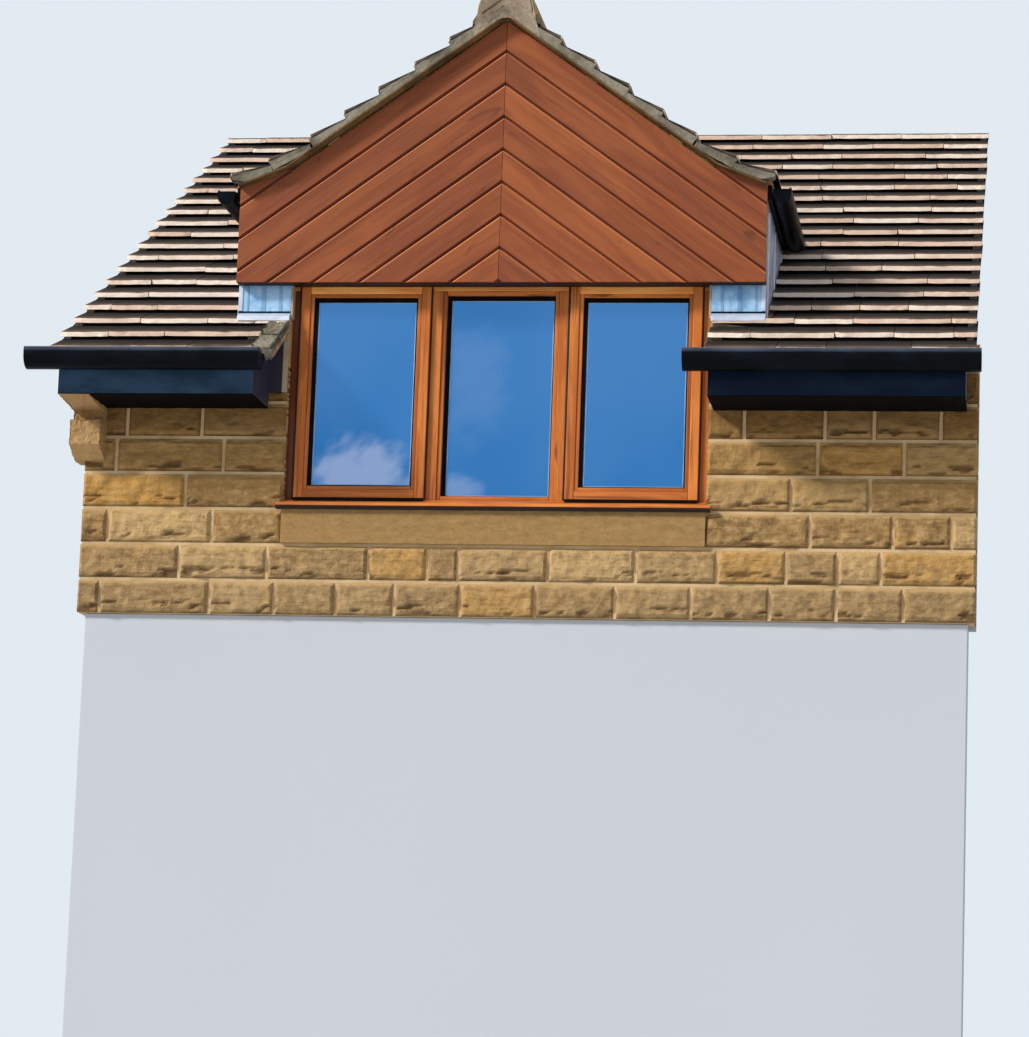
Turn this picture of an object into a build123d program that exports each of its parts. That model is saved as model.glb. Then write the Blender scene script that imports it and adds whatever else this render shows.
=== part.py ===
"""A through-eaves dormer window with the short piece of wall and roof that carries it.

Millimetres. +Z up, X along the facade, the facade looks towards -Y. The origin lies in
the wall's underside, below the middle of the window and half-way through the wall.
Depths are measured inwards from the outer face of the stone, so a negative depth stands
in front of the wall.
"""
import os
from collections import namedtuple
from math import cos, radians, tan

from build123d import *

os.makedirs("parts", exist_ok=True)

# Wall
WALL_THICKNESS = 250.0
STONE_LEAF = 100.0
COURSE = 150.0
COURSES_BELOW_SILL = 2
JOINT = 10.0
WALL_LEFT = 1735.0
WALL_RIGHT = 1980.0
OPENING_HALF = 882.0
SILL_PROUD = 8.0
JAMB_FILLET = 20.0
FILLET_OUT = 14.0

# Timber window
FRAME_RECESS = 45.0
FRAME_DEPTH = 90.0
FRAME_FACE = 60.0
FRAME_HEIGHT = 1000.0
CENTRE_LIGHT = 492.0
MULLION_FACE = 70.0
SASH_LAP = 22.0
HEAD_LAP = 25.0
SASH_PROUD = 18.0
SASH_DEPTH = 45.0
SASH_STILE = 55.0
SASH_RAIL = 58.0
SASH_FOOT = 52.0
SASH_CLEAR = 3.0
GLAZING_REBATE = 9.0
GLAZING_FRONT = 14.0
GLASS_THICKNESS = 24.0
GLASS_CLEAR = 0.3
BEAD = 18.0
BEAD_DEPTH = 20.0
BEVEL = 6.0
CILL_NOSE_OUT = 35.0
CILL_NOSE_HEIGHT = 24.0
CILL_HORN = 30.0
CILL_HEIGHT = 52.0
BOARD_THICKNESS = 25.0
BOARD_NOSE = 25.0

# Main roof
MAIN_PITCH = 32.0
TILE_LAYER = 40.0
TILE_STEP = 18.0
TILE_GAUGE = 178.0
DECK = 18.0
MAIN_RAFTER = 125.0
RAFTER_WIDTH = 50.0
EAVES_EDGE = 330.0
ROOF_PAST_RIDGE = 300.0
CORNER_VERGE = 83.0
FAR_VERGE = -5.0
VERGE_PAST_DECK = 38.0
PLATE_WIDTH = 100.0
PLATE_HEIGHT = 75.0
PLATE_FRONT = 125.0
BIRDSMOUTH = 49.0
HEADER_BEHIND_CHEEK = 129.0
HEADER_THICKNESS = 75.0
JACK_COUNT = 5
JACK_SPACING = 400.0
BOARD_GAP = 3.0

# Boxed eaves and gutters
FASCIA_OUT = 280.0
FASCIA_THICKNESS = 20.0
SOFFIT_DROP = 397.0
SOFFIT_THICKNESS = 9.0
BOX_END = 18.0
CORNER_BOX_SHY = 78.0
CORNER_BOX_PAST = 45.0
FAR_BOX_SHY = 21.0
FAR_BOX_PAST = -47.0
CLOSURE_LIFT = 70.0
CLOSURE_OUT = 20.0
GUTTER_RADIUS = 55.0
GUTTER_STRAIGHT = 25.0
GUTTER_WALL = 3.0
GUTTER_GAP = 8.0
CORNER_GUTTER_SHY = 35.0
CORNER_GUTTER_PAST = 163.0
FAR_GUTTER_SHY = -74.0
FAR_GUTTER_PAST = 15.0
BRACKET_WIDTH = 30.0
BRACKET_HEIGHT = 45.0
BRACKET_COUNT = 3

# Corner corbel
CORBEL_OUT = 100.0
CORBEL_WIDTH = 135.0
CORBEL_DROP = 190.0
CORBEL_BEVEL = 55.0
CORBEL_NECK = 40.0

# Gable
GABLE_SIDE = 225.0
GABLE_PROUD = 60.0
CLADDING = 18.0
BATTEN = 22.0
BATTEN_WIDTH = 50.0
BATTEN_COUNT = 7
SHEATHING = 20.0
GABLE_LAP = 49.0
GABLE_SIDE_HEIGHT = 480.0
APRON_HEIGHT = 129.0
SOFFIT_STRIP = 18.0
STUD_DEPTH = 100.0
STUD_WIDTH = 50.0
STUD_COUNT = 7
STUD_SETTLE = 10.0
BEAM_HEIGHT = 150.0
LEAD = 4.0

# Dormer roof
DORMER_PITCH = 36.0
FOOT_PITCH = 22.0
FOOT_RUN = 200.0
DORMER_RAFTER = 100.0
RIDGE_BOARD = 25.0
RIDGE_BOARD_HEIGHT = 200.0
DORMER_RAFTER_SPACING = 400.0
DORMER_RAFTER_COUNT = 5
CHEEK_THICKNESS = 100.0
CHEEK_DROP = 220.0
VERGE_OUT = 45.0
UNDERCLOAK = 15.0
SIDE_OVERHANG = 50.0
SIDE_FASCIA_THICKNESS = 22.0
SIDE_FASCIA_HEIGHT = 60.0
SIDE_GUTTER_RADIUS = 38.0
SIDE_GUTTER_STRAIGHT = 20.0
SIDE_GUTTER_DROP = 88.0
SIDE_GUTTER_FRONT = 60.0
SIDE_GUTTER_GAP = 5.0
VALLEY_HALF = 60.0
RIDGE_RADIUS = 125.0
RIDGE_WALL = 18.0
RIDGE_DROP = 65.0
RIDGE_LEG = 45.0

# Worked out from the sizes above
FACE = -WALL_THICKNESS / 2
SILL_BOTTOM = COURSES_BELOW_SILL * COURSE
SILL_TOP = SILL_BOTTOM + COURSE - JOINT
FRAME_TOP = SILL_TOP + FRAME_HEIGHT
FRAME_BACK = FRAME_RECESS + FRAME_DEPTH
HEAD_BOTTOM = FRAME_TOP - FRAME_FACE
CILL_TOP = SILL_TOP + CILL_HEIGHT
JAMB_INNER = OPENING_HALF - FRAME_FACE
MULLION_INNER = CENTRE_LIGHT / 2
MULLION_OUTER = MULLION_INNER + MULLION_FACE
MAIN_TAN = tan(radians(MAIN_PITCH))
MAIN_COS = cos(radians(MAIN_PITCH))
DORMER_TAN = tan(radians(DORMER_PITCH))
DORMER_COS = cos(radians(DORMER_PITCH))
FOOT_TAN = tan(radians(FOOT_PITCH))
FOOT_COS = cos(radians(FOOT_PITCH))
GABLE_HALF = OPENING_HALF + GABLE_SIDE
GABLE_BOTTOM = FRAME_TOP - GABLE_LAP
MAIN_LEVEL = GABLE_BOTTOM - APRON_HEIGHT
SOFFIT_LEVEL = MAIN_LEVEL - SOFFIT_DROP
DORMER_EAVES = GABLE_BOTTOM + GABLE_SIDE_HEIGHT
FOOT_START = GABLE_HALF - FOOT_RUN
RIDGE_LEVEL = DORMER_EAVES + FOOT_RUN * FOOT_TAN + FOOT_START * DORMER_TAN
TO_DECK = TILE_LAYER
TO_RAFTER = TILE_LAYER + DECK
TO_MAIN_UNDERSIDE = TO_RAFTER + MAIN_RAFTER
TO_DORMER_UNDERSIDE = TO_RAFTER + DORMER_RAFTER
TO_CLADDING = TO_RAFTER + UNDERCLOAK
BEAM_BOTTOM = FRAME_TOP
BEAM_TOP = BEAM_BOTTOM + BEAM_HEIGHT
CLADDING_BACK = -GABLE_PROUD + CLADDING
SHEATHING_FRONT = CLADDING_BACK + BATTEN
ROOM_HALF = GABLE_HALF - CHEEK_THICKNESS
CHEEK_FACE = GABLE_HALF - LEAD
CHEEK_TOP = DORMER_EAVES - CHEEK_DROP
SIDE_GUTTER_TOP = DORMER_EAVES - SIDE_GUTTER_DROP
SIDE_FASCIA_OUT = CHEEK_FACE + SIDE_FASCIA_THICKNESS
DORMER_EDGE = GABLE_HALF + SIDE_OVERHANG
FAR = 4000.0

# The left side ends at the house's corner and the right side at the next window's jamb.
# The box and gutter start beside the opening and end past, or short of, the wall's end.
Side = namedtuple("Side", "name way wall verge box_start box_end gutter_start gutter_end")
SIDES = (
    Side("left", -1, WALL_LEFT, WALL_LEFT + CORNER_VERGE,
         OPENING_HALF + CORNER_BOX_SHY, WALL_LEFT + CORNER_BOX_PAST,
         OPENING_HALF + CORNER_GUTTER_SHY, WALL_LEFT + CORNER_GUTTER_PAST),
    Side("right", 1, WALL_RIGHT, WALL_RIGHT + FAR_VERGE,
         OPENING_HALF + FAR_BOX_SHY, WALL_RIGHT + FAR_BOX_PAST,
         OPENING_HALF + FAR_GUTTER_SHY, WALL_RIGHT + FAR_GUTTER_PAST),
)


def main_z(depth, below=0.0):
    """Height of a plane parallel to the main roof, a distance below its tile noses."""
    return MAIN_LEVEL + depth * MAIN_TAN - below / MAIN_COS


def main_depth(height, below=0.0):
    """Depth at which such a plane of the main roof reaches a height."""
    return (height - MAIN_LEVEL + below / MAIN_COS) / MAIN_TAN


def straight_z(x, below=0.0):
    """Height of the dormer's slope without its flatter foot."""
    return RIDGE_LEVEL - abs(x) * DORMER_TAN - below / DORMER_COS


def knee_x(below=0.0):
    """Distance from the ridge at which the slope bends to the flatter foot."""
    return FOOT_START + below * (1 / DORMER_COS - 1 / FOOT_COS) / (FOOT_TAN - DORMER_TAN)


def dormer_z(x, below=0.0):
    """Height of a plane parallel to the dormer's slope, its foot included."""
    knee = knee_x(below)
    if abs(x) <= knee:
        return straight_z(x, below)
    return straight_z(knee, below) - (abs(x) - knee) * FOOT_TAN


def layer_outline(way, x_in, x_out, above, below):
    """One layer of the dormer's slope in section, from x_in at the ridge to x_out."""
    upper = [(x, dormer_z(x, above)) for x in (x_in, knee_x(above), x_out)]
    lower = [(x, dormer_z(x, below)) for x in (x_out, knee_x(below), x_in)]
    return [(way * x, z) for x, z in upper + lower]


ROOF_TOP_DEPTH = main_depth(RIDGE_LEVEL) + ROOF_PAST_RIDGE
HEADER_DEPTH = main_depth(CHEEK_TOP, TO_RAFTER) + HEADER_BEHIND_CHEEK
PLATE_TOP = main_z(PLATE_FRONT, TO_MAIN_UNDERSIDE) + BIRDSMOUTH
PLATE_BOTTOM = PLATE_TOP - PLATE_HEIGHT
STONE_TOP = main_z(0, TO_MAIN_UNDERSIDE) - JOINT


def block(x0, x1, d0, d1, z0, z1, mode=Mode.ADD):
    """A square block between two distances along, two depths and two heights."""
    with Locations((min(x0, x1), FACE + d0, z0)):
        Box(abs(x1 - x0), d1 - d0, z1 - z0, align=(Align.MIN, Align.MIN, Align.MIN), mode=mode)


def side_prism(x0, x1, points, mode=Mode.ADD):
    """A profile of depths and heights, carried along the facade."""
    with BuildSketch(Plane.YZ.offset(min(x0, x1))) as profile:
        with BuildLine():
            Polyline([(FACE + depth, z) for depth, z in points], close=True)
        make_face()
    extrude(profile.sketch, amount=abs(x1 - x0), mode=mode)


def front_prism(d0, d1, points, mode=Mode.ADD):
    """A profile drawn on the facade, carried inwards."""
    with BuildSketch(Plane.XZ.offset(-FACE - d1)) as profile:
        with BuildLine():
            Polyline(points, close=True)
        make_face()
    extrude(profile.sketch, amount=d1 - d0, mode=mode)


def plan_prism(z0, z1, points, mode=Mode.ADD):
    """A plan of places along and depths, carried upwards."""
    with BuildSketch(Plane.XY.offset(z0)) as profile:
        with BuildLine():
            Polyline([(x, FACE + depth) for x, depth in points], close=True)
        make_face()
    extrude(profile.sketch, amount=z1 - z0, mode=mode)


def finish(part, label):
    """Label a finished piece and write it out."""
    part.label = label
    export_step(part, f"parts/{label}.step")


# Stone and inner leaf
with BuildPart() as stone_wall_below:
    block(-WALL_LEFT, WALL_RIGHT, 0, STONE_LEAF, 0, SILL_BOTTOM)
finish(stone_wall_below.part, "stone_wall_below")

with BuildPart() as stone_sill:
    block(-OPENING_HALF, OPENING_HALF, -SILL_PROUD, STONE_LEAF, SILL_BOTTOM, SILL_TOP)
finish(stone_sill.part, "stone_sill")

with BuildPart() as inner_wall_below:
    block(-WALL_LEFT, WALL_RIGHT, STONE_LEAF, WALL_THICKNESS, 0, SILL_TOP)
finish(inner_wall_below.part, "inner_wall_below")

for side in SIDES:
    with BuildPart() as stone_wall:
        block(side.way * OPENING_HALF, side.way * side.wall, 0, STONE_LEAF, SILL_BOTTOM, STONE_TOP)
    finish(stone_wall.part, f"stone_wall_{side.name}")

    with BuildPart() as inner_wall:
        block(side.way * OPENING_HALF, side.way * side.wall, STONE_LEAF, WALL_THICKNESS,
              SILL_TOP, PLATE_BOTTOM)
    finish(inner_wall.part, f"inner_wall_{side.name}")

with BuildPart() as wall_plates:
    for side in SIDES:
        block(side.way * OPENING_HALF, side.way * side.wall, PLATE_FRONT, PLATE_FRONT + PLATE_WIDTH,
              PLATE_BOTTOM, PLATE_TOP)
finish(wall_plates.part, "wall_plates")

with BuildPart() as jamb_fillets:
    for way in (-1, 1):
        side_prism(way * OPENING_HALF, way * (OPENING_HALF + JAMB_FILLET), [
            (-FILLET_OUT, SOFFIT_LEVEL + CLOSURE_LIFT), (0, SOFFIT_LEVEL + CLOSURE_LIFT),
            (0, main_z(0, TO_RAFTER)), (-FILLET_OUT, main_z(-FILLET_OUT, TO_RAFTER)),
        ])
finish(jamb_fillets.part, "jamb_fillets")

# The kneeler under the box at the house's corner, tied back round the corner
CORBEL_INNER = WALL_LEFT + CORNER_BOX_PAST - CORBEL_WIDTH
with BuildPart() as corner_corbel:
    side_prism(-WALL_LEFT - CORNER_BOX_PAST, -CORBEL_INNER, [
        (-FASCIA_OUT, SOFFIT_LEVEL), (0, SOFFIT_LEVEL), (0, SOFFIT_LEVEL - CORBEL_NECK - CORBEL_DROP),
        (-CORBEL_OUT, SOFFIT_LEVEL - CORBEL_NECK - CORBEL_DROP + CORBEL_BEVEL),
        (-CORBEL_OUT, SOFFIT_LEVEL - CORBEL_NECK),
    ])
    block(-WALL_LEFT - CORNER_BOX_PAST, -WALL_LEFT, 0, STONE_LEAF,
          SOFFIT_LEVEL - CORBEL_NECK - CORBEL_DROP, SOFFIT_LEVEL)
finish(corner_corbel.part, "corner_corbel")

# Window frame
with BuildPart() as window_sill:
    side_prism(-OPENING_HALF, OPENING_HALF, [
        (0, SILL_TOP), (FRAME_BACK, SILL_TOP), (FRAME_BACK, CILL_TOP),
        (FRAME_RECESS, CILL_TOP), (0, SILL_TOP + CILL_NOSE_HEIGHT + BEVEL),
    ])
    side_prism(-OPENING_HALF - CILL_HORN, OPENING_HALF + CILL_HORN, [
        (-CILL_NOSE_OUT, SILL_TOP), (0, SILL_TOP), (0, SILL_TOP + CILL_NOSE_HEIGHT + BEVEL),
        (-CILL_NOSE_OUT, SILL_TOP + CILL_NOSE_HEIGHT),
    ])
finish(window_sill.part, "window_sill")

with BuildPart() as frame_head:
    block(-OPENING_HALF, OPENING_HALF, FRAME_RECESS, FRAME_BACK, HEAD_BOTTOM, FRAME_TOP)
finish(frame_head.part, "frame_head")

with BuildPart() as frame_jambs:
    for way in (-1, 1):
        block(way * JAMB_INNER, way * OPENING_HALF, FRAME_RECESS, FRAME_BACK,
              CILL_TOP, HEAD_BOTTOM)
finish(frame_jambs.part, "frame_jambs")

with BuildPart() as frame_mullions:
    for way in (-1, 1):
        block(way * MULLION_INNER, way * MULLION_OUTER, FRAME_RECESS, FRAME_BACK,
              CILL_TOP, HEAD_BOTTOM)
finish(frame_mullions.part, "frame_mullions")

SASH_IN = MULLION_OUTER - SASH_LAP
SASH_OUT = JAMB_INNER + SASH_LAP
SASH_BOTTOM = CILL_TOP + SASH_CLEAR
SASH_TOP = HEAD_BOTTOM + HEAD_LAP
SASH_FRONT = FRAME_RECESS - SASH_PROUD
SASH_BACK = SASH_FRONT + SASH_DEPTH
LIGHT_IN = SASH_IN + SASH_STILE
LIGHT_OUT = SASH_OUT - SASH_STILE
LIGHT_BOTTOM = SASH_BOTTOM + SASH_FOOT
LIGHT_TOP = SASH_TOP - SASH_RAIL
PANE_FRONT = SASH_FRONT + GLAZING_FRONT

for name, way in (("left", -1), ("right", 1)):
    with BuildPart() as sash:
        block(way * SASH_IN, way * SASH_OUT, SASH_FRONT, FRAME_RECESS, SASH_BOTTOM, SASH_TOP)
        block(way * (MULLION_OUTER + SASH_CLEAR), way * (JAMB_INNER - SASH_CLEAR),
              FRAME_RECESS, SASH_BACK, SASH_BOTTOM, HEAD_BOTTOM - SASH_CLEAR)
        block(way * LIGHT_IN, way * LIGHT_OUT, SASH_FRONT, SASH_BACK, LIGHT_BOTTOM, LIGHT_TOP,
              mode=Mode.SUBTRACT)
        block(way * (LIGHT_IN - GLAZING_REBATE), way * (LIGHT_OUT + GLAZING_REBATE),
              PANE_FRONT, SASH_BACK, LIGHT_BOTTOM - GLAZING_REBATE, LIGHT_TOP + GLAZING_REBATE,
              mode=Mode.SUBTRACT)
        front_edges = sash.edges().filter_by(
            lambda edge: abs(edge.center().Y - FACE - SASH_FRONT) < GLASS_CLEAR)
        chamfer(front_edges, BEVEL)
    finish(sash.part, f"sash_{name}")

    with BuildPart() as pane:
        block(way * (LIGHT_IN - GLAZING_REBATE + GLASS_CLEAR),
              way * (LIGHT_OUT + GLAZING_REBATE - GLASS_CLEAR),
              PANE_FRONT, PANE_FRONT + GLASS_THICKNESS,
              LIGHT_BOTTOM - GLAZING_REBATE + GLASS_CLEAR, LIGHT_TOP + GLAZING_REBATE - GLASS_CLEAR)
    finish(pane.part, f"glass_{name}")

BEAD_FRONT = FRAME_RECESS + BEVEL
with BuildPart() as centre_beads:
    block(-MULLION_INNER, MULLION_INNER, BEAD_FRONT, BEAD_FRONT + BEAD_DEPTH,
          CILL_TOP, HEAD_BOTTOM)
    block(-MULLION_INNER + BEAD, MULLION_INNER - BEAD, BEAD_FRONT, BEAD_FRONT + BEAD_DEPTH,
          CILL_TOP + BEAD, HEAD_BOTTOM - BEAD, mode=Mode.SUBTRACT)
finish(centre_beads.part, "centre_beads")

with BuildPart() as glass_centre:
    block(-MULLION_INNER + GLASS_CLEAR, MULLION_INNER - GLASS_CLEAR,
          BEAD_FRONT + BEAD_DEPTH, BEAD_FRONT + BEAD_DEPTH + GLASS_THICKNESS,
          CILL_TOP + GLASS_CLEAR, HEAD_BOTTOM - GLASS_CLEAR)
finish(glass_centre.part, "glass_centre")

with BuildPart() as window_board:
    block(-OPENING_HALF, OPENING_HALF, FRAME_BACK, WALL_THICKNESS + BOARD_NOSE,
          SILL_TOP, SILL_TOP + BOARD_THICKNESS)
finish(window_board.part, "window_board")

# Beam and studs behind the gable
with BuildPart() as head_beam:
    block(-ROOM_HALF, ROOM_HALF, 0, STUD_DEPTH, BEAM_BOTTOM, BEAM_TOP)
finish(head_beam.part, "head_beam")

with BuildPart() as jamb_studs:
    for way in (-1, 1):
        block(way * OPENING_HALF, way * ROOM_HALF, 0, STUD_DEPTH, STONE_TOP + STUD_SETTLE, BEAM_BOTTOM)
finish(jamb_studs.part, "jamb_studs")


def gable_outline(half, bottom, below):
    """The gable's shape: square sides, a flatter foot and a steeper slope to the apex."""
    edge = [(half, dormer_z(half, below)), (knee_x(below), dormer_z(knee_x(below), below))]
    mirrored = [(-x, z) for x, z in reversed(edge)]
    return [(-half, bottom), (half, bottom)] + edge + [(0, dormer_z(0, below))] + mirrored


with BuildPart() as gable_studs:
    stud_pitch = 2 * (ROOM_HALF - STUD_WIDTH / 2) / (STUD_COUNT - 1)
    with BuildSketch(Plane.XY.offset(BEAM_TOP)):
        with Locations((0, FACE + STUD_DEPTH / 2)):
            with GridLocations(stud_pitch, 1, STUD_COUNT, 1):
                Rectangle(STUD_WIDTH, STUD_DEPTH)
    extrude(amount=RIDGE_LEVEL - BEAM_TOP)
    with BuildSketch(Plane.XZ.offset(-FACE - STUD_DEPTH)):
        with BuildLine():
            Polyline([(-ROOM_HALF, BEAM_TOP), (ROOM_HALF, BEAM_TOP),
                      (ROOM_HALF, straight_z(ROOM_HALF, TO_DORMER_UNDERSIDE)),
                      (0, straight_z(0, TO_DORMER_UNDERSIDE)),
                      (-ROOM_HALF, straight_z(ROOM_HALF, TO_DORMER_UNDERSIDE))], close=True)
        make_face()
    extrude(amount=STUD_DEPTH, mode=Mode.INTERSECT)
    block(-RIDGE_BOARD / 2, RIDGE_BOARD / 2, 0, STUD_DEPTH,
          straight_z(RIDGE_BOARD / 2, TO_RAFTER) - RIDGE_BOARD_HEIGHT, RIDGE_LEVEL,
          mode=Mode.SUBTRACT)
finish(gable_studs.part, "gable_studs")

with BuildPart() as gable_sheathing:
    front_prism(SHEATHING_FRONT, SHEATHING_FRONT + SHEATHING,
                gable_outline(GABLE_HALF, GABLE_BOTTOM + SOFFIT_STRIP, TO_RAFTER))
finish(gable_sheathing.part, "gable_sheathing")

with BuildPart() as gable_battens:
    batten_pitch = (2 * GABLE_HALF - BATTEN_WIDTH) / (BATTEN_COUNT - 1)
    front_prism(CLADDING_BACK, SHEATHING_FRONT,
                gable_outline(GABLE_HALF, GABLE_BOTTOM + SOFFIT_STRIP, TO_RAFTER))
    for gap in range(BATTEN_COUNT - 1):
        gap_start = -GABLE_HALF + BATTEN_WIDTH + gap * batten_pitch
        block(gap_start, gap_start + batten_pitch - BATTEN_WIDTH, CLADDING_BACK, SHEATHING_FRONT,
              GABLE_BOTTOM, RIDGE_LEVEL, mode=Mode.SUBTRACT)
finish(gable_battens.part, "gable_battens")

with BuildPart() as gable_soffit:
    block(-GABLE_HALF, GABLE_HALF, CLADDING_BACK, 0, GABLE_BOTTOM, GABLE_BOTTOM + SOFFIT_STRIP)
    block(-OPENING_HALF, OPENING_HALF, 0, SASH_FRONT, GABLE_BOTTOM, GABLE_BOTTOM + SOFFIT_STRIP)
finish(gable_soffit.part, "gable_soffit")

for name, way in (("left", -1), ("right", 1)):
    with BuildPart() as gable_boards:
        front_prism(-GABLE_PROUD, CLADDING_BACK, gable_outline(GABLE_HALF, GABLE_BOTTOM, TO_CLADDING))
        block(0, -way * FAR, -GABLE_PROUD, CLADDING_BACK, GABLE_BOTTOM, RIDGE_LEVEL,
              mode=Mode.SUBTRACT)
    finish(gable_boards.part, f"gable_boards_{name}")

# Everything below the main roof's deck, and below its tiles beside the dormer
with BuildPart() as below_deck:
    side_prism(-FAR, FAR, [
        (-FAR, main_z(-FAR, TO_DECK)), (FAR, main_z(FAR, TO_DECK)), (FAR, main_z(-FAR, TO_DECK)),
    ])
with BuildPart() as below_tiles:
    side_prism(-FAR, FAR, [(-FAR, main_z(-FAR)), (FAR, main_z(FAR)), (FAR, main_z(-FAR))])
with BuildPart() as below_side_tiles:
    side_prism(-FAR, FAR, [(-FAR, main_z(-FAR)), (FAR, main_z(FAR)), (FAR, main_z(-FAR))])
    block(-GABLE_HALF, GABLE_HALF, -FAR, FAR, -FAR, FAR, mode=Mode.SUBTRACT)

# Cheeks
for name, way in (("left", -1), ("right", 1)):
    cheek_end = main_depth(CHEEK_TOP, TO_RAFTER)
    with BuildPart() as cheek:
        side_prism(way * ROOM_HALF, way * CHEEK_FACE, [
            (0, main_z(0, TO_RAFTER)), (cheek_end, CHEEK_TOP), (0, CHEEK_TOP),
        ])
    finish(cheek.part, f"cheek_panel_{name}")

    lead_top = dormer_z(SIDE_FASCIA_OUT, TO_RAFTER) - SIDE_FASCIA_HEIGHT
    lead_end = main_depth(lead_top, TO_DECK)
    with BuildPart() as cheek_lead:
        side_prism(way * CHEEK_FACE, way * GABLE_HALF, [
            (0, main_z(0, TO_DECK)), (lead_end, lead_top), (0, lead_top),
        ])
    finish(cheek_lead.part, f"cheek_lead_{name}")

with BuildPart() as front_lead:
    for way in (-1, 1):
        block(way * OPENING_HALF, way * GABLE_HALF, -LEAD, 0, main_z(0), GABLE_BOTTOM)
finish(front_lead.part, "front_lead")

# Dormer roof
def dormer_courses(way):
    """Section of the dormer's tile covering: courses stepping down to the flatter foot."""
    points = [(way * DORMER_EDGE, dormer_z(DORMER_EDGE, TO_DECK)),
              (way * knee_x(TO_DECK), dormer_z(knee_x(TO_DECK), TO_DECK)),
              (0, dormer_z(0, TO_DECK))]
    noses = []
    x = DORMER_EDGE
    while x > 0:
        step = TILE_GAUGE * (FOOT_COS if x > FOOT_START else DORMER_COS)
        after = max(x - step, 0)
        noses = [(way * after, dormer_z(after, TILE_STEP)), (way * x, dormer_z(x))] + noses
        x = after
    return noses + points


valley_plan = [(x, main_depth(dormer_z(x))) for x in (0, knee_x(), DORMER_EDGE)]
TILES_FRONT = -GABLE_PROUD - VERGE_OUT

with BuildPart() as ridge_board:
    ridge_board_top = straight_z(RIDGE_BOARD / 2, TO_RAFTER)
    block(-RIDGE_BOARD / 2, RIDGE_BOARD / 2, 0, FAR,
          ridge_board_top - RIDGE_BOARD_HEIGHT, ridge_board_top)
    add(below_deck.part, mode=Mode.SUBTRACT)
finish(ridge_board.part, "ridge_board")

with BuildPart() as dormer_rafters:
    for way in (-1, 1):
        outline = [
            (way * RIDGE_BOARD / 2, dormer_z(RIDGE_BOARD / 2, TO_RAFTER)),
            (way * knee_x(TO_RAFTER), dormer_z(knee_x(TO_RAFTER), TO_RAFTER)),
            (way * CHEEK_FACE, dormer_z(CHEEK_FACE, TO_RAFTER)),
            (way * CHEEK_FACE, straight_z(CHEEK_FACE, TO_DORMER_UNDERSIDE)),
            (way * RIDGE_BOARD / 2, straight_z(RIDGE_BOARD / 2, TO_DORMER_UNDERSIDE)),
        ]
        for place in range(DORMER_RAFTER_COUNT):
            rafter_front = place * DORMER_RAFTER_SPACING
            front_prism(rafter_front, rafter_front + RAFTER_WIDTH, outline)
        block(way * ROOM_HALF, way * FAR, 0, FAR, 0, CHEEK_TOP, mode=Mode.SUBTRACT)
    add(below_deck.part, mode=Mode.SUBTRACT)
finish(dormer_rafters.part, "dormer_rafters")

with BuildPart() as dormer_deck:
    for way in (-1, 1):
        front_prism(CLADDING_BACK, FAR / 2,
                    layer_outline(way, BOARD_GAP / 2, SIDE_FASCIA_OUT, TO_DECK, TO_RAFTER))
    add(below_deck.part, mode=Mode.SUBTRACT)
    add(below_side_tiles.part, mode=Mode.SUBTRACT)
finish(dormer_deck.part, "dormer_deck")

for name, way in (("left", -1), ("right", 1)):
    valley_back = [(way * x, depth - VALLEY_HALF) for x, depth in reversed(valley_plan)]
    valley_front = [(way * x, depth + VALLEY_HALF) for x, depth in valley_plan]
    with BuildPart() as tiles:
        front_prism(TILES_FRONT, FAR, dormer_courses(way))
        plan_prism(0, FAR, [(0, TILES_FRONT), (way * DORMER_EDGE, TILES_FRONT)] + valley_back,
                   mode=Mode.INTERSECT)
        add(below_side_tiles.part, mode=Mode.SUBTRACT)
    finish(tiles.part, f"dormer_tiles_{name}")

    with BuildPart() as verge:
        front_prism(TILES_FRONT, CLADDING_BACK,
                    layer_outline(way, 0, GABLE_HALF, TO_DECK, TO_CLADDING))
    finish(verge.part, f"verge_{name}")

    with BuildPart() as main_side:
        side_prism(0, way * GABLE_HALF, [
            (0, main_z(0, TO_DECK - LEAD)), (FAR, main_z(FAR, TO_DECK - LEAD)),
            (FAR, main_z(FAR, TO_DECK)), (0, main_z(0, TO_DECK)),
        ])
        plan_prism(0, FAR, [(x, depth - VALLEY_HALF) for x, depth in valley_front] + [
            (x, depth + 2 * VALLEY_HALF) for x, depth in valley_back], mode=Mode.INTERSECT)
    with BuildPart() as valley_lead:
        front_prism(0, FAR, layer_outline(way, 0, GABLE_HALF, TO_DECK - LEAD, TO_DECK))
        plan_prism(0, FAR, valley_back + [(x, depth - VALLEY_HALF) for x, depth in valley_front],
                   mode=Mode.INTERSECT)
        add(main_side.part)
        add(below_deck.part, mode=Mode.SUBTRACT)
        add(dormer_deck.part, mode=Mode.SUBTRACT)
    finish(valley_lead.part, f"valley_lead_{name}")

with BuildPart() as below_slopes:
    front_prism(TILES_FRONT, FAR / 2, [
        (-GABLE_HALF, straight_z(GABLE_HALF)), (0, RIDGE_LEVEL), (GABLE_HALF, straight_z(GABLE_HALF)),
    ])

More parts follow.
